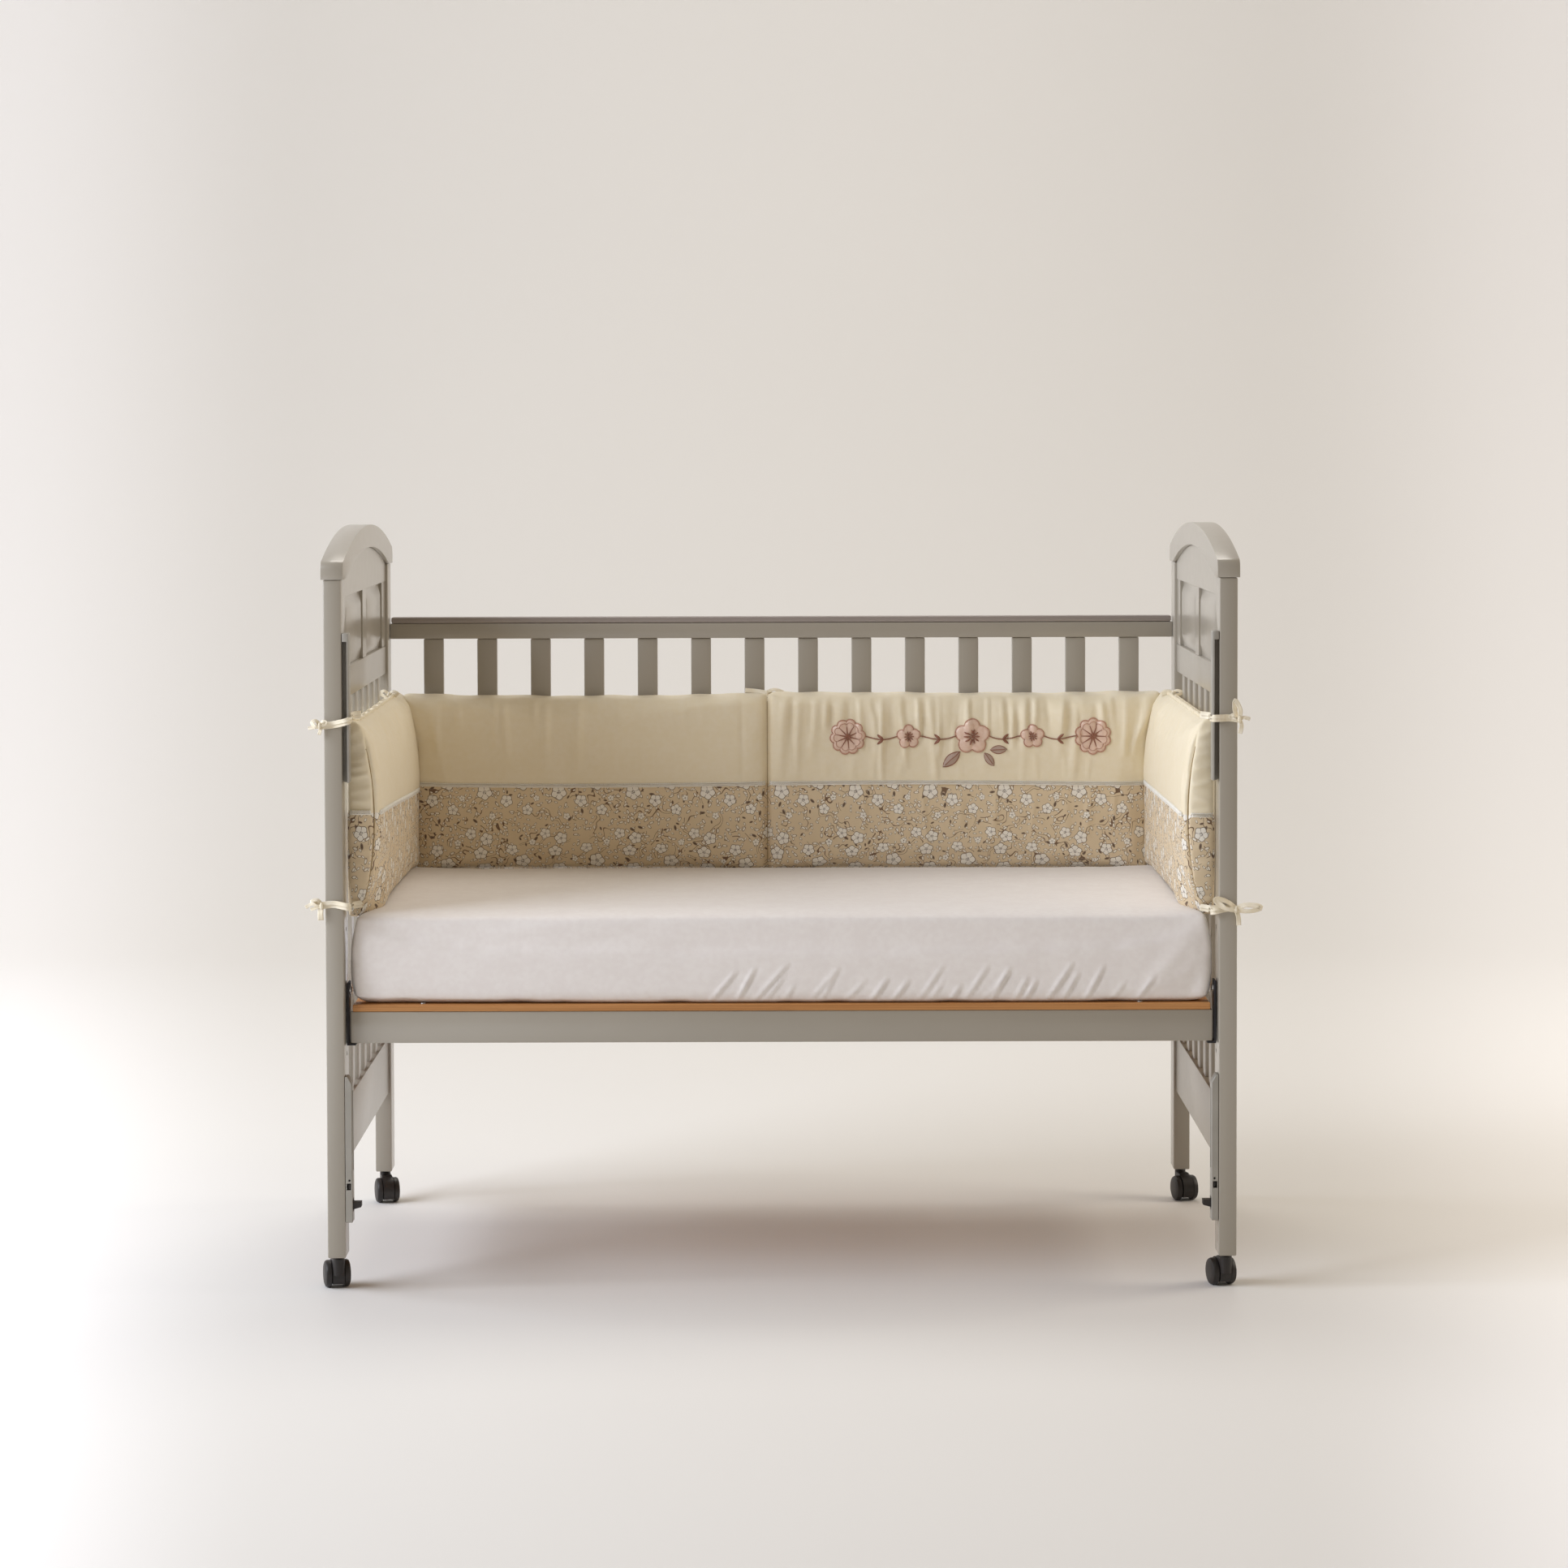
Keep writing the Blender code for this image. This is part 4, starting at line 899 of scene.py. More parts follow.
def make_arm(side_name, side, seed):
    low, high = np.array(arm_low), np.array(arm_high)
    inner, outer = low[0], high[0]
    high[1] -= 0.002
    high[2] += 0.005
    low[2] = bed_high[2] - SUNK
    lines = [grid_lines(inner, outer, QUAD, (inner + 0.004,)),
             grid_lines(low[1], high[1], QUAD, (low[1] + 0.004,)),
             grid_lines(low[2], high[2], QUAD, (LACE_Z,))]
    rest, faces = box_skin(lines)
    points = round_box(rest, low, high, np.where(rest[:, 2:] < LACE_Z, 0.006, 0.009))
    height = (rest[:, 2] - low[2]) / (high[2] - low[2])
    share = arm_width(height, points[:, 1] - low[1])
    points[:, 0] = outer - (outer - points[:, 0]) * share
    slant = 0.012 * (1 - smooth(height, 0.0, 0.25)) * (1 - smooth(points[:, 1] - low[1], 0, 0.04))
    points[:, 1] += slant
    under = (rest[:, 0] - inner) * (rest[:, 2] < low[2] + ON_FACE) * (rest[:, 1] > low[1] + ON_FACE)
    flat = np.column_stack([rest[:, 1] - (rest[:, 0] - inner) * (under == 0), rest[:, 2] - under])
    nearby = np.clip(1 - np.abs(rest[:, 2] - LACE_Z) / 0.09, 0, 1)
    points[:, 2] += (lace_level(side_name, rest[:, 1]) - LACE_Z) * nearby
    if side < 0:
        points[:, 0] *= -1
        faces = [face[::-1] for face in faces]
    thing = soft_object(f"bumper_arm_{side_name}", points, faces, [sateen, print_cotton], flat)
    two_tone(thing, rest, LACE_Z)
    against_end = (rest[:, 0] > outer - ON_FACE).astype(float)
    front_seam = np.exp(-(((rest[:, 0] - inner) / 0.003) ** 2 + ((rest[:, 1] - low[1]) / 0.003) ** 2))
    behind = (rest[:, 1] > high[1] - ON_FACE).astype(float)
    held = np.clip(against_end + front_seam + behind, 0, 1)
    swell(thing, held, 3.5, 0.02, 0.006)
    rest = refined(thing, rest)
    height = (rest[:, 2] - low[2]) / (high[2] - low[2])
    points = coordinates(thing.data)
    facing = smooth(-rest[:, 0], -inner - 0.012, -inner)
    gusset = smooth(-rest[:, 1], -low[1] - 0.008, -low[1])
    draw = random.Random(seed)
    folds = gathers(rest[:, [1, 2]], low[1] + 0.03, high[1] - 0.06, high[2] - 0.01, 5, seed, 0.0014,
                    (0.04, 0.10))
    points = raise_along(points, (-side, 0, 0), folds * facing)
    across = np.zeros(len(rest))
    for number in range(15):
        at = low[2] + 0.018 + 0.017 * number + draw.uniform(-0.005, 0.005)
        across += ridge(rest[:, [0, 2]], (outer, at), (inner + draw.uniform(0.0, 0.014),
                        at + draw.uniform(-0.006, 0.008)), 0.0042, draw.uniform(0.0010, 0.0038))
    points = raise_along(points, (0, -1, 0), across * gusset)
    # The seam between the inner face and the gusset is a narrow valley.
    off_seam = np.hypot(rest[:, 0] - inner, rest[:, 1] - low[1])
    depth = 0.0026 * np.exp(-(off_seam / 0.0030) ** 2) * smooth(height, 0.02, 0.08)
    depth *= 1 - smooth(height, 0.86, 0.95)
    points += depth[:, None] * np.array([side, 1.0, 0.0])
    set_points(thing, points)
    return thing


arms = {}
for side_name, side, seed in (("left", -1, 21), ("right", 1, 22)):
    arm = make_arm(side_name, side, seed)
    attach(arm, "frame")
    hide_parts(f"bumper_{side_name}")
    arms[side_name] = arm

# %% [markdown]
# ## Finding the cloth's surface
# Lace, seams and embroidery are sewn onto cloth that is no longer flat. A ray sent at a pad finds
# its surface, and the trimming is laid a hair above the hit point.

# %% Find the cloth's surface
class Surface:
    """The finished surface of a pad, for laying trimmings on."""

    def __init__(self, thing):
        graph = bpy.context.evaluated_depsgraph_get()
        self.tree = BVHTree.FromObject(thing, graph)

    def hit(self, origin, direction, lift):
        """The point where a ray meets the cloth, lifted off it, with the cloth's normal."""
        spot, normal, _, _ = self.tree.ray_cast(Vector(origin), Vector(direction), 0.5)
        if spot is None:
            return None, None
        if normal.dot(Vector(direction)) > 0:
            normal = -normal
        return spot + normal * lift, normal


back_surface = Surface(back_pad)
arm_surface = {name: Surface(arm) for name, arm in arms.items()}


def on_back(x, z, lift=0.0010):
    return back_surface.hit((x, back_low[1] - 0.1, z), (0, 1, 0), lift)


def on_arm(side_name, y, z, lift=0.0010):
    side = -1 if side_name == "left" else 1
    return arm_surface[side_name].hit((side * (arm_low[0] - 0.1), y, z), (side, 0, 0), lift)


def on_gusset(side_name, x, z, lift=0.0010):
    return arm_surface[side_name].hit((x, arm_low[1] - 0.1, z), (0, 1, 0), lift)

# %% [markdown]
# ## Cords
# Lace, seams and floss are all thin cords, so one function sweeps a round section along a line of
# points. It works in the mesh directly, because many thousands of short pieces are needed.

# %% Sweep a cord
class Pile:
    """Collects the points and faces of many small pieces into one mesh."""

    def __init__(self):
        self.points, self.faces, self.slots = [], [], []

    def add(self, points, faces, slot=0):
        start = len(self.points)
        self.points += [tuple(p) for p in points]
        self.faces += [[start + corner for corner in face] for face in faces]
        self.slots += [slot] * len(faces)

    def cord(self, line, radius, sides=6, slot=0, closed=False, flatten=1.0, up=None):
        """A round or flattened cord along a line of points."""
        line = [Vector(p) for p in line]
        count = len(line)
        ring_points, faces = [], []
        for index, point in enumerate(line):
            before = line[index - 1] if index or closed else point
            after = line[(index + 1) % count] if index + 1 < count or closed else point
            along = (after - before).normalized()
            guide = Vector(up[index]) if up else Vector((0, 0, 1))
            if abs(along.dot(guide)) > 0.95:
                guide = Vector((0, 1, 0))
            side = along.cross(guide).normalized()
            rise = side.cross(along)
            thick = radius[index] if hasattr(radius, "__len__") else radius
            for corner in range(sides):
                angle = 2 * math.pi * corner / sides
                ring_points.append(point + side * (math.cos(angle) * thick)
                                   + rise * (math.sin(angle) * thick * flatten))
        rings = count if closed else count - 1
        for ring in range(rings):
            for corner in range(sides):
                a = ring * sides + corner
                b = ring * sides + (corner + 1) % sides
                c, d = (a + sides) % (count * sides), (b + sides) % (count * sides)
                faces.append([a, c, d, b])
        if not closed:
            faces.append(list(range(sides)))
            faces.append([(count - 1) * sides + corner for corner in reversed(range(sides))])
        self.add(ring_points, faces, slot)

    def finish(self, name, materials, body="frame"):
        """The collected mesh as a piece that rides on a body."""
        mesh = bpy.data.meshes.new(name)
        mesh.from_pydata(self.points, [], self.faces)
        for material in materials:
            mesh.materials.append(material)
        mesh.polygons.foreach_set("material_index", self.slots)
        flat = np.array([(p[0] + p[1], p[2], 0) for p in self.points], np.float32)
        stored = mesh.attributes.new("flat_cloth", "FLOAT_VECTOR", "POINT")
        stored.data.foreach_set("vector", flat.ravel())
        mesh.shade_smooth()
        fixed = bmesh.new()
        fixed.from_mesh(mesh)
        bmesh.ops.recalc_face_normals(fixed, faces=fixed.faces)
        fixed.to_mesh(mesh)
        fixed.free()
        thing = bpy.data.objects.new(name, mesh)
        bpy.context.scene.collection.objects.link(thing)
        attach(thing, body)
        print(name, "has", len(self.faces), "faces")
        return thing

# %% [markdown]
# ## Screws in the base board
# The board is screwed down to its front rail near each end. All that shows of a screw is its low
# round head. It could be a turned profile with a Screw modifier, but a short cord whose radius
# shrinks toward the top gives the same dome. Two thin black bars are painted shade: they stand for
# the shadowed hollow of its cross recess.

# %% Screw down the base board
board_low, board_high = span("base_board")
SCREW_IN, SCREW_BACK = 97 * MM, 13 * MM  # from the board's end and from its front edge
HEAD = ((-1.0, 4.0), (0.5, 4.0), (1.2, 3.4), (1.7, 2.0), (1.8, 0.4))  # height and radius, in mm

screws = Pile()
for side in (-1, 1):
    x, y = side * (board_high[0] - SCREW_IN), board_low[1] + SCREW_BACK
    screws.cord([(x, y, board_high[2] + up * MM) for up, _ in HEAD], [r * MM for _, r in HEAD], 20)
    # Painted shade: two thin black bars stand for the shadowed cross recess.
    for across, along in ((1, 0), (0, 1)):
        ends = [(x + t * across * MM, y + t * along * MM, board_high[2] + 1.75 * MM) for t in (-1.8, 1.8)]
        screws.cord(ends, 0.0004, 6, slot=1)
screws.finish("board_screws", [zinc_steel, powder_steel])

# %% [markdown]
# ## Lace
# The lace is a narrow torchon edging: two straight cords and a flat middle band, with a zigzag
# over them, and a small loop, or picot, standing up at every turn. It runs along the back, along
# the arms and across their front ends. One turn of the zigzag is 3.4 mm.

# %% Sew on the lace
LACE_HEIGHT = 0.0046
LACE_TURN = 0.0034


def lace_run(pile, spots):
    """Lays lace along spots, where a spot gives (point, normal, up) for the cloth."""
    upper, lower, zigzag = [], [], []
    for index, (point, normal, up) in enumerate(spots):
        upper.append(point + up * LACE_HEIGHT / 2)
        lower.append(point - up * LACE_HEIGHT / 2)
        reach = LACE_HEIGHT * (0.85 if index % 2 else -0.5)
        zigzag.append(point + up * reach + normal * 0.0004)
    normals = [spot[1] for spot in spots]
    middle = [spot[0] for spot in spots]
    pile.cord(middle[::2], 0.0012, 6, flatten=0.25, up=normals[::2])
    pile.cord(upper[::2], 0.00075, 6, up=normals[::2])
    pile.cord(lower[::2], 0.00095, 6, up=normals[::2])
    pile.cord(zigzag, 0.00062, 5, up=normals)


def spots_along(find, start, end, height):
    """Points along the cloth, half a lace turn apart, at a height that may vary."""
    count = int(abs(end - start) / (LACE_TURN / 2))
    spots = []
    for index in range(count + 1):
        at = start + (end - start) * index / count
        point, normal = find(at, height(at))
        if point is not None:
            spots.append((point, normal, Vector((0, 0, 1))))
    return spots


lace = Pile()
inner_x = back_high[0]
for start, end in ((-inner_x, JOIN_X), (JOIN_X, inner_x)):
    lace_run(lace, spots_along(on_back, start + 0.004, end - 0.004,
                               lambda x: LACE_Z + 0.0018 * math.sin(x * 6.5 + 0.4)))
for side_name, side in SIDES:
    lace_run(lace, spots_along(lambda y, z: on_arm(side_name, y, z), arm_low[1] + 0.010,
                               back_low[1] - 0.002, lambda y: float(lace_level(side_name, y))))
    inner = side * (arm_low[0] + 0.006)
    outer = side * (arm_high[0] - 0.004)
    lace_run(lace, spots_along(lambda x, z: on_gusset(side_name, x, z), inner, outer,
                               lambda x: float(lace_level(side_name, arm_low[1]))))
lace.finish("lace_edging", [lace_cotton])

# %% [markdown]
# ### Ruffles
# The top edge of each arm was gathered before it was sewn up, which leaves it lumpy. A cord of
# sateen whose radius goes up and down gives those lumps, laid along the cloth that a ray finds.

# %% Gather the tops of the arms
def ruffle(side_name, side):
    """A narrow gathered welt along the top of an arm, thicker and thinner by turns."""
    draw = random.Random(31 if side > 0 else 30)
    pile = Pile()
    line, thick = [], []
    start, end = arm_low[1] + 0.012, back_low[1] + 0.004
    count = 90
    for step in range(count + 1):
        y = start + (end - start) * step / count
        x = side * (arm_high[0] - 0.0085 + 0.0012 * math.sin(step * 1.7))
        spot, _ = arm_surface[side_name].hit((x, y, arm_high[2] + 0.1), (0, 0, -1), 0.0)
        if spot is not None:
            line.append(spot + Vector((0, 0, 0.0008)))
            thick.append(0.0026 + 0.0007 * math.sin(step * 1.1) + draw.uniform(-0.0004, 0.0004))
    pile.cord(line, thick, 8)
    pile.finish(f"top_ruffle_{side_name}", [sateen])


for side_name, side in SIDES:
    ruffle(side_name, side)

# %% [markdown]
# ## Seam threads and painted seam shade
# A sewn seam shows as a shallow valley with a line of thread at its bottom. The valleys are
# already in the pads. The seams that show are the join between the two back pads and the curved
# edge of each arm's front end. The thread is a thin cord laid on the cloth it finds there. Its dark
# tan is partly painted shade: it darkens the seam line as the shadow in the valley does.

# %% Sew the seams
def gusset_edge(side_name, side):
    """The inner edge of an arm's front end, found by looking for the cloth at each height."""
    line = []
    for step in range(25):
        z = arm_low[2] + 0.020 + (arm_high[2] - arm_low[2] - 0.055) * step / 24
        height = (z - arm_low[2]) / (arm_high[2] - arm_low[2])
        width = (arm_high[0] - arm_low[0]) * float(arm_width(np.array(height), np.array(0.0)))
        x = side * (arm_high[0] - width + 0.0035)
        point, _ = on_gusset(side_name, x, z, 0.0)
        if point is not None:
            line.append(point)
    return line


seams = Pile()
join_line = []
for step in range(40):
    z = back_low[2] + 0.006 + (back_high[2] - back_low[2] - 0.012) * step / 39
    point, _ = on_back(JOIN_X, z, 0.0)
    if point is not None:
        join_line.append(point)
seams.cord(join_line, 0.0007, 6)
for side_name, side in SIDES:
    seams.cord(gusset_edge(side_name, side), 0.0007, 6)
seams.finish("seam_threads_painted_shade", [seam_shade_thread])

# %% [markdown]
# ## Embroidery
# Five satin flowers stand in a row on the right-hand pad, joined by a waved stem. A flower is a
# satin patch over wadding. Its edge is a ring of scallops, covered by close satin stitch. Brown
# floss runs from its heart toward the notches between the petals. The patch is a fan of rings,
# domed toward each petal's middle, and laid on the cloth ring by ring.

# %% Embroider the flowers
FLOWER_Z = 0.7245
FLOWERS = [  # place along the pad, radius, petals, turn
    (0.102, 0.0270, 10, 0.10), (0.196, 0.0180, 5, 0.35), (0.294, 0.0270, 5, 0.31),
    (0.387, 0.0178, 5, 0.35), (0.480, 0.0278, 10, 0.30),
]


class Flower:
    """Round petals about a heart: where the edge is, and how high the wadding lifts the satin."""

    def __init__(self, x, radius, petals, turn):
        self.x, self.radius, self.petals, self.turn = x, radius, petals, turn
        half_step = math.sin(math.pi / petals)
        self.middle = radius / (1 + 1.25 * half_step)
        self.lobe = radius - self.middle

    def off_petal(self, angle):
        """The angle from the middle line of the nearest petal."""
        step = 2 * math.pi / self.petals
        return (angle - self.turn + step / 2) % step - step / 2

    def edge(self, angle):
        off = self.off_petal(angle)
        across = self.middle * math.sin(off)
        return self.middle * math.cos(off) + math.sqrt(max(self.lobe ** 2 - across ** 2, 0.0))

    def height(self, angle, reach):
        """A petal is a dome that narrows toward the heart."""
        off = self.off_petal(angle)
        along, across = reach * math.cos(off), reach * math.sin(off)
        share = min(max(along / self.middle, 0.05), 1.0)
        width = self.lobe * (0.25 + 0.75 * share)
        beyond = max(along - self.middle, 0.0)
        away = math.hypot(across, beyond) / width
        return 0.0008 + 0.30 * self.lobe * math.sqrt(max(1 - away * away, 0.0)) * (0.45 + 0.55 * share)

    def spot(self, angle, reach, lift=0.0, on_satin=True):
        """A point above the cloth, over the satin or over the bare sateen."""
        puff = self.height(angle, reach) if on_satin else 0.0
        x, z = self.x + reach * math.cos(angle), FLOWER_Z + reach * math.sin(angle)
        return on_back(x, z, puff + lift)[0]


def satin_patch(pile, one):
    """The satin as rings of points laid on the cloth from the heart to the scalloped edge."""
    rings, spokes = 14, one.petals * 14
    angles = [2 * math.pi * spoke / spokes for spoke in range(spokes)]
    points = [one.spot(angle, one.edge(angle) * ring / rings)
              for ring in range(rings + 1) for angle in angles]
    faces = []
    for ring in range(rings):
        for spoke in range(spokes):
            after = (spoke + 1) % spokes
            faces.append([ring * spokes + spoke, ring * spokes + after,
                          (ring + 1) * spokes + after, (ring + 1) * spokes + spoke])
    pile.add(points, faces, 0)
    return angles


def flower(pile, x, radius, petals, turn):
    one = Flower(x, radius, petals, turn)
    angles = satin_patch(pile, one)
    pile.cord([one.spot(a, one.edge(a), 0.0010, False) for a in angles], 0.0011, 8, 1, closed=True)
    # A flower of many petals has one long stitch to a petal and a second ring of floss. One of
    # five has two short ones to a petal, thick in the middle.
    many = petals > 5
    strokes, inner, outer, thick = (petals, 0.06, 0.66, 0.030) if many else (2 * petals, 0.14, 0.44, 0.042)
    thick *= radius
    if many:
        pile.cord([one.spot(a, one.edge(a) * 0.80, 0.0003) for a in angles], 0.0005, 6, 1, closed=True)
    draw = random.Random(int(x * 1000))
    for stroke in range(strokes):
        angle = turn + 2 * math.pi * (stroke + 0.5) / strokes
        reach = radius * outer * draw.uniform(0.86, 1.1)
        line = [one.spot(angle, radius * inner + (reach - radius * inner) * step / 7, 0.0006)
                for step in range(8)]
        if many:
            widths = [thick * (1.5 - 1.0 * step / 7) for step in range(8)]
        else:
            widths = [thick * (0.35 + math.sin(math.pi * (step + 0.6) / 8.2)) for step in range(8)]
        pile.cord(line, widths, 6, 2)
    # The heart is a spiral of small French knots.
    for knot in range(9 if many else 6):
        angle = 2.4 * knot
        reach = radius * 0.045 * math.sqrt(knot) * (1.3 if many else 0.8)
        heart = one.spot(angle, reach, 0.0012)
        ball = [heart + Vector((0, -0.0010 + 0.0007 * s, 0)) for s in range(4)]
        pile.cord(ball, [radius * v for v in (0.028, 0.055, 0.060, 0.040)], 8, 2, up=[(0, 0, 1)] * 4)


embroidery = Pile()
for x, radius, petals, turn in FLOWERS:
    flower(embroidery, x, radius, petals, turn)
piece = embroidery.finish("embroidered_flowers", [petal_satin, rim_floss, brown_floss])

# %% [markdown]
# ### Stem and leaves
# The stem is a stem-stitched rope that sags a little between one flower and the next. Pairs of
# small satin-stitch leaves sit on it, and three larger leaves hang under the middle flower.

# %% Embroider the stem and the leaves
def leaf(pile, x, z, length, width, lean, slot, rim_slot, lift=0.0012):
    """A pointed leaf from its foot at x, z, leaning by an angle from straight right."""
    steps, points, faces = 8, [], []
    for step in range(steps + 1):
        share = step / steps
        half = width / 2 * math.sin(math.pi * share) ** 0.8
        for across in (-1.0, -0.5, 0.0, 0.5, 1.0):
            forward, sideways = length * share, half * across
            px = x + forward * math.cos(lean) - sideways * math.sin(lean)
            pz = z + forward * math.sin(lean) + sideways * math.cos(lean)
            puff = lift * (1 - across * across) + 0.0005
            points.append(on_back(px, pz, puff)[0])
    for step in range(steps):
        for column in range(4):
            a = step * 5 + column
            faces.append([a, a + 1, a + 6, a + 5])
    pile.add(points, faces, slot)
    outline = [points[step * 5] for step in range(steps + 1)]
    outline += [points[step * 5 + 4] for step in range(steps - 1, 0, -1)]
    pile.cord(outline, width * 0.055, 5, rim_slot, closed=True)
    pile.cord([points[step * 5 + 2] for step in range(steps)], width * 0.05, 5, rim_slot)


sprigs = Pile()
for first, second in zip(FLOWERS, FLOWERS[1:]):
    start, end = first[0] + first[1] * 0.9, second[0] - second[1] * 0.9
    stem, plies = [], []
    for step in range(61):
        share = step / 60
        toward_middle = share if first[0] < 0.25 else 1 - share
        z = FLOWER_Z + 0.0012 - 0.0075 * math.sin(math.pi * share) * (0.4 + 0.6 * toward_middle)
        stem.append(on_back(start + (end - start) * share, z, 0.0010)[0])
        plies.append(0.0011 if step % 2 else 0.0008)
    sprigs.cord(stem, plies, 6, 1)
    x = (start + end) / 2 + (0.004 if first[0] < 0.25 else -0.004)
    lean = math.radians(38)
    facing = math.pi if first[0] < 0.25 else 0.0
    for turn in (-1, 1):
        direction = facing + turn * lean
        leaf(sprigs, x, FLOWER_Z - 0.004, 0.0125, 0.0038, direction, 1, 1)
for x, z, length, width, lean in ((0.275, 0.701, 0.035, 0.0150, 222), (0.322, 0.7035, 0.0255, 0.0125, 2),
                                  (0.313, 0.699, 0.0245, 0.0115, -54)):
    leaf(sprigs, x, z, length, width, math.radians(lean), 0, 1, 0.0018)
piece = sprigs.finish("embroidered_stem_and_leaves", [leaf_satin, brown_floss])

# %% [markdown]
# ## Ties
# The bumper is tied to the cot with cotton tape 4 to 8 mm wide. At each front corner a doubled tape
# runs from the pad across the front of the post and ends in a bow at its outer side. A flat tape
# can't come out of a cloth simulation of this size, so it is swept as a thin ribbon that turns.

# %% Sweep a tape
def tape(pile, line, width, facing, thick=0.0006):
    """A flat ribbon along a line; facing gives the direction its flat side looks in at each point."""
    line = [Vector(p) for p in line]
    curve, looks = [], []
    for index in range(len(line) - 1):
        before = line[max(index - 1, 0)]
        a, b = line[index], line[index + 1]
        after = line[min(index + 2, len(line) - 1)]
        for part in range(6):
            t = part / 6
            bend, twist = 2 * before - 5 * a + 4 * b - after, 3 * a - before - 3 * b + after
            curve.append(0.5 * ((2 * a) + (b - before) * t + bend * t * t + twist * t ** 3))
            looks.append(Vector(facing[index]).lerp(Vector(facing[index + 1]), t).normalized())
    curve.append(line[-1])
    looks.append(Vector(facing[-1]).normalized())
    points, faces = [], []
    for index, point in enumerate(curve):
        along = (curve[min(index + 1, len(curve) - 1)] - curve[max(index - 1, 0)]).normalized()
        look = (looks[index] - along * looks[index].dot(along)).normalized()
        side = along.cross(look)
        half = width / 2
        # A tape cups a little along its middle.
        for across, lift in ((-1, 0.5), (-0.5, 0.15), (0, 0), (0.5, 0.15), (1, 0.5)):
            points.append(point + side * half * across + look * (thick + lift * 0.0008))
        for across, lift in ((1, 0.5), (0.5, 0.15), (0, 0), (-0.5, 0.15), (-1, 0.5)):
            points.append(point + side * half * across + look * (lift * 0.0008 - thick))
    for index in range(len(curve) - 1):
        for corner in range(10):
            a = index * 10 + corner
            b = index * 10 + (corner + 1) % 10
            faces.append([a, b, b + 10, a + 10])
    faces.append(list(range(10)))
    faces.append([(len(curve) - 1) * 10 + corner for corner in reversed(range(10))])
    pile.add(points, faces)

# %% [markdown]
# ### Bows on the posts
# No two bows are tied alike, so each has its own loops and tails, listed in millimetres
# from its knot. The knot itself is a short thick cord that the ribbons come out of.

# %% Tie the corners to the posts
# Each bow has its knot, out and up in millimetres, with how much higher the tape leaves the pad,
# and its ribbons. A ribbon is a width and the points it passes, out, up and forward from the
# knot. One that comes back to 0 is a loop.
BOWS = {
    "left_upper": ((637.0, 791.0, 12), [
        (5.5, [(0, 0, 0), (5, 7, 3), (10, 5, 5), (5, -1, 6), (0, 0, 3)]),
        (5.0, [(0, 0, 1), (7, -2, 3), (16, -3, 2)]),
        (5.0, [(0, 0, 2), (-1, -6, 4), (1, -12, 3)]),
        (4.5, [(0, 0, 1), (-4, 6, 4), (-9, 5, 4), (-5, 1, 4), (0, 0, 2)])]),
    "left_lower": ((636.5, 541.5, -4), [
        (5.0, [(0, 0, 1), (9, 4, 3), (22, -2, 2)]),
        (5.0, [(0, 0, 0), (5, 8, 3), (13, 6, 5), (7, 1, 5), (0, 0, 2)]),
        (8.0, [(0, 0, 1), (1, -9, 4), (1, -20, 3)]),
        (4.5, [(0, 0, 1), (7, -3, 3), (15, -5, 2)])]),
    "right_upper": ((633.5, 797.0, 2), [
        (6.5, [(0, 0, 0), (-6, 11, 3), (-6, 26, 5), (1, 13, 6), (0, 0, 3)]),
        (6.0, [(0, 0, 1), (3, -9, 4), (1, -20, 3)]),
        (5.0, [(0, 0, 1), (7, 2, 4), (15, 0, 3)]),
        (5.0, [(0, 0, 1), (-7, 6, 4), (-12, 3, 4), (-5, -1, 4), (0, 0, 2)])]),
    "right_lower": ((629.5, 533.0, -4), [
        (8.0, [(0, 0, 0), (-13, 11, 4), (-29, 14, 6), (-15, 2, 7), (0, 0, 3)]),
        (4.5, [(0, 0, 1), (-18, 4, 4), (-36, 3, 3)]),
        (8.0, [(0, 0, 1), (14, 6, 4), (34, 3, 5), (18, -2, 6), (0, 0, 3)]),
        (6.5, [(0, 0, 1), (3, -10, 4), (4, -22, 3)])]),
}


def bow(pile, knot, side, ribbons):
    """A knot with its loops and tails; each ribbon turns its flat side up or down as it leaves."""
    for width, route in ribbons:
        line = [knot + Vector((side * out, -forward, up)) * MM for out, up, forward in route]
        closed = route[-1][:2] == (0, 0)
        if closed:
            facing = [(0, -1, 0.5), (0, -1, 1.2), (side * 0.6, -1, 0.1), (0, -1, -1.0), (0, -1, -0.2)]
        else:
            facing = [(0, -1, 0.3), (0.3 * side, -1, 0.6), (-0.2 * side, -1, -0.2)]
        tape(pile, line, width * MM, facing, 0.0004)
    pile.cord([knot + Vector((0, -0.004, 0.0045)), knot + Vector((0, -0.005, 0.0)),
               knot + Vector((0, -0.004, -0.0045))], [0.0016, 0.0025, 0.0016], 10)


def tie_front(name, side):
    """A doubled tape from the pad's corner across a front post, with its bow at the outer side."""
    (out, up, rise), ribbons = BOWS[name]
    pile = Pile()
    front = post_low[1] - 0.0012
    knot = Vector((side * out * MM, front - 0.0012, up * MM))
    start_z = up * MM + rise / 1000
    path = [(side * (arm_high[0] - 0.020), arm_low[1] + 0.010, start_z),
            (side * (arm_high[0] - 0.008), arm_low[1] - 0.003, start_z - 0.001),
            (side * track_low[0], front - 0.004, start_z * 0.6 + knot.z * 0.4),
            (side * (post_low[0] + 0.012), front, knot.z + 0.0015), tuple(knot)]
    face = (0, -1, 0.1)
    for shift, back in ((0.0020, 0.0), (-0.0022, -0.0006)):
        tape(pile, [(p[0], p[1] - back, p[2] + shift) for p in path], 0.0060, [face] * 5, 0.0004)
    bow(pile, knot, side, ribbons)
    thing = pile.finish(f"tie_{name}", [tape_cotton])


for name in BOWS:
    tie_front(name, dict(SIDES)[name.split("_")[0]])

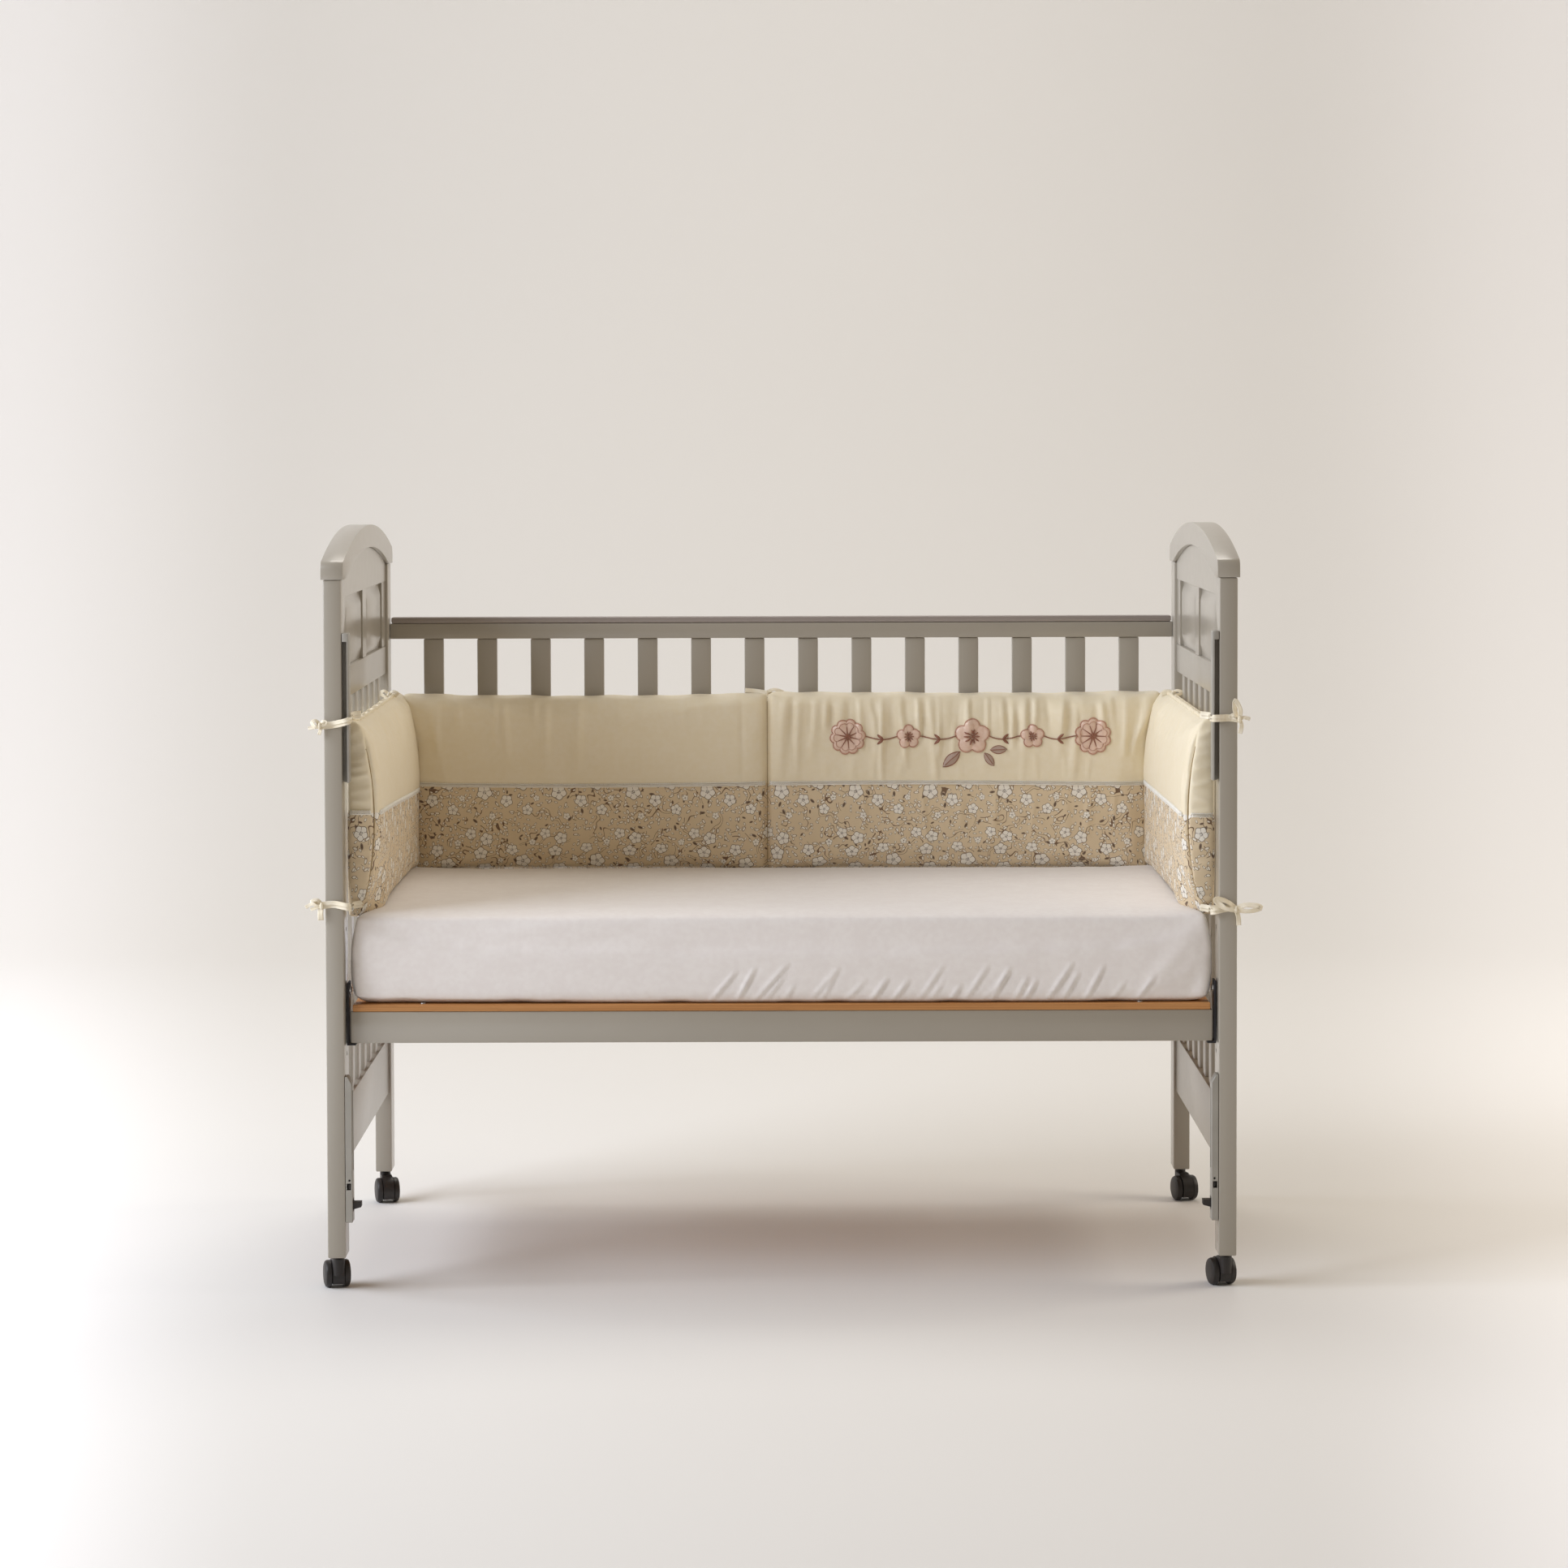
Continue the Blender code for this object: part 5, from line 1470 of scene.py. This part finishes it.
# %% [markdown]
# ### Ties at the back
# Three small ties hold the top of the back pads to the slats and the corners. Only their loops
# and a short run of tape look over the pad, so that is all that is made of them.

# %% Tie the back of the bumper
def tie_slat(name, knot, ribbons, run):
    """A small tie at the top of the back: a flat run of tape and a half-hidden bow."""
    pile = Pile()
    if run:
        tape(pile, run, 0.0070, [(0, -1, 0.35)] * len(run), 0.0004)
    bow(pile, Vector(knot), 1, ribbons)
    thing = pile.finish(name, [tape_cotton])


top = float(back_high[2])

tie_slat("tie_rear_centre", (-0.0227, back_high[1] - 0.012, top + 0.0005), [
    (6.0, [(0, 0, 0), (12, 5, -3), (27, -1, -4), (13, -2, -6), (0, 0, -2)]),
    (4.0, [(0, 0, 1), (-5, -4, 5), (-9, -3, 6)])],
    [(-0.056, back_high[1] - 0.0015, top + 0.004), (-0.040, back_high[1] - 0.003, top + 0.0028),
     (-0.0227, back_high[1] - 0.010, top + 0.0005)])
tie_slat("tie_rear_left", (-0.603, 0.258, top + 0.002), [
    (5.0, [(0, 0, 0), (-7, 6, 2), (-13, 3, 3), (-6, -2, 3), (0, 0, 1)]),
    (5.0, [(0, 0, 0), (6, 5, 2), (13, 2, 3), (6, -2, 3), (0, 0, 1)]),
    (4.5, [(0, 0, 1), (-5, -5, 4), (-8, -11, 3)])], [])
tie_slat("tie_rear_right", (0.6025, 0.262, top + 0.001), [
    (5.0, [(0, 0, 0), (6, 4, 2), (14, 1, 2), (6, -2, 3), (0, 0, 1)])],
    [(0.585, 0.262, top - 0.001), (0.594, 0.262, top + 0.002), (0.6025, 0.262, top + 0.001)])

# %% [markdown]
# ## Floor and backdrop
# The cot stands on a seamless sweep of warm white paper: a floor that bends up into a wall.

# %% Floor and backdrop
def make_sweep():
    material, tree, shader = new_material("matt_paper_sweep")
    place = add(tree, "TexCoord").outputs["Object"]
    cloud = add(tree, "TexNoise", {"Vector": place, "Scale": 0.8, "Detail": 2.0})
    tone = add(tree, "Mix", {"Factor": cloud, "A": "E0DEDA", "B": "E3E1DD"}, data_type="RGBA")
    # Painted light: the roll is made whiter toward its two sides, standing for the brighter light there.
    # The cot stands mid way.
    axes = add(tree, "SeparateXYZ", {"Vector": place})
    aside = add(tree, "Math", {0: axes.outputs["X"]}, operation="ABSOLUTE")
    ahead = add(tree, "Math", {0: axes.outputs["Y"], 1: 6.0}, operation="ADD")
    length = add(tree, "Math", {0: ahead}, operation="ABSOLUTE")
    spread = add(tree, "Math", {0: aside, 1: length}, operation="DIVIDE")
    edge = add(tree, "MapRange", {"Value": spread, "From Min": 0.12, "From Max": 0.21},
               interpolation_type="SMOOTHSTEP")
    # Painted light: toward the sides the paper is mixed to near white.
    paper = add(tree, "Mix", {"Factor": edge, "A": tone.outputs[2], "B": "FCFBFA"}, data_type="RGBA")
    tree.links.new(paper.outputs[2], shader.inputs["Base Color"])
    shader.inputs["Roughness"].default_value = 0.95
    shader.inputs["Specular IOR Level"].default_value = 0.1
    bend, back, wide, front, top = 2.5, 5.5, 30.0, -30.0, 9.0
    profile = [(front, 0.0), (back - bend, 0.0)]
    profile += [(back - bend + bend * math.sin(a), bend - bend * math.cos(a))
                for a in [math.pi / 2 * step / 16 for step in range(1, 17)]]
    profile.append((back, top))
    points = [(side * wide, y, z) for y, z in profile for side in (-1, 1)]
    faces = [[2 * row, 2 * row + 1, 2 * row + 3, 2 * row + 2] for row in range(len(profile) - 1)]
    mesh = bpy.data.meshes.new("paper_sweep")
    mesh.from_pydata(points, [], faces)
    mesh.materials.append(material)
    mesh.shade_smooth()
    sweep = bpy.data.objects.new("paper_sweep", mesh)
    bpy.context.scene.collection.objects.link(sweep)


make_sweep()

# %% [markdown]
# ## Light
# Four large soft lamps light the cot, as softboxes would. Two on the left are the key: one low at
# the side, and one left of the camera. A weaker one hangs over the backdrop, and a warm one fills
# from the right. A pale room lights the shade. Lamps this large give shadows with wide soft edges.
# The picture is shown with the plain Standard view, which keeps pale cloth as pale as it is.

# %% Light
def soft_lamp(name, place, toward, size, power, colour):
    """A square area lamp that points at a place."""
    lamp = bpy.data.lights.new(name, "AREA")
    lamp.shape = "RECTANGLE"
    lamp.size = size
    lamp.size_y = size
    lamp.energy = power
    lamp.color = linear(colour)[:3]
    holder = bpy.data.objects.new(name, lamp)
    bpy.context.scene.collection.objects.link(holder)
    holder.location = place
    holder.rotation_euler = (Vector(toward) - Vector(place)).to_track_quat("-Z", "Y").to_euler()


COT_MIDDLE = (0, 0, 0.5)
LAMPS = [  # name, place, what it points at, side in metres, watts and colour
    ("key_low_on_the_left", (-4.6, 0.2, 2.2), COT_MIDDLE, 2.9, 110, "EAF1FF"),
    ("key_left_of_the_camera", (-4.0, -2.0, 2.8), COT_MIDDLE, 2.9, 181, "EBF2FF"),
    ("above_the_backdrop", (0, 2.6, 4.6), (0, 1.5, 0), 2.6, 68, "FFFBF4"),
    ("warm_fill_from_the_right", (4.4, 0.3, 2.8), COT_MIDDLE, 2.6, 82, "FFF6E8"),
]
for lamp_settings in LAMPS:
    soft_lamp(*lamp_settings)

world = bpy.data.worlds.new("pale_room")
world.use_nodes = True
room = world.node_tree.nodes["Background"]
room.inputs["Color"].default_value = linear("FFEEDA")
room.inputs["Strength"].default_value = 0.31
bpy.context.scene.world = world
bpy.context.scene.view_settings.view_transform = "Standard"

# %% [markdown]
# ## Camera
# The camera stands 5.2 m in front of the cot and 1.2 m above the floor, with a long lens. It looks
# down by a little over two degrees, and the lens's shift sets the cot low in the frame.

# %% Camera
LOOK_DOWN, ROLL = 2.3, -0.163  # degrees below level, and degrees about the line of sight

lens = bpy.data.cameras.new("camera")
lens.lens = 87.08
lens.shift_x = -0.002
lens.shift_y = -0.131
camera = bpy.data.objects.new("camera", lens)
bpy.context.scene.collection.objects.link(camera)
camera.location = (0.0095, -5.563, 1.203)
camera.rotation_euler = (Matrix.Rotation(math.radians(90 - LOOK_DOWN), 4, "X")
                         @ Matrix.Rotation(math.radians(ROLL), 4, "Z")).to_euler()
bpy.context.scene.camera = camera
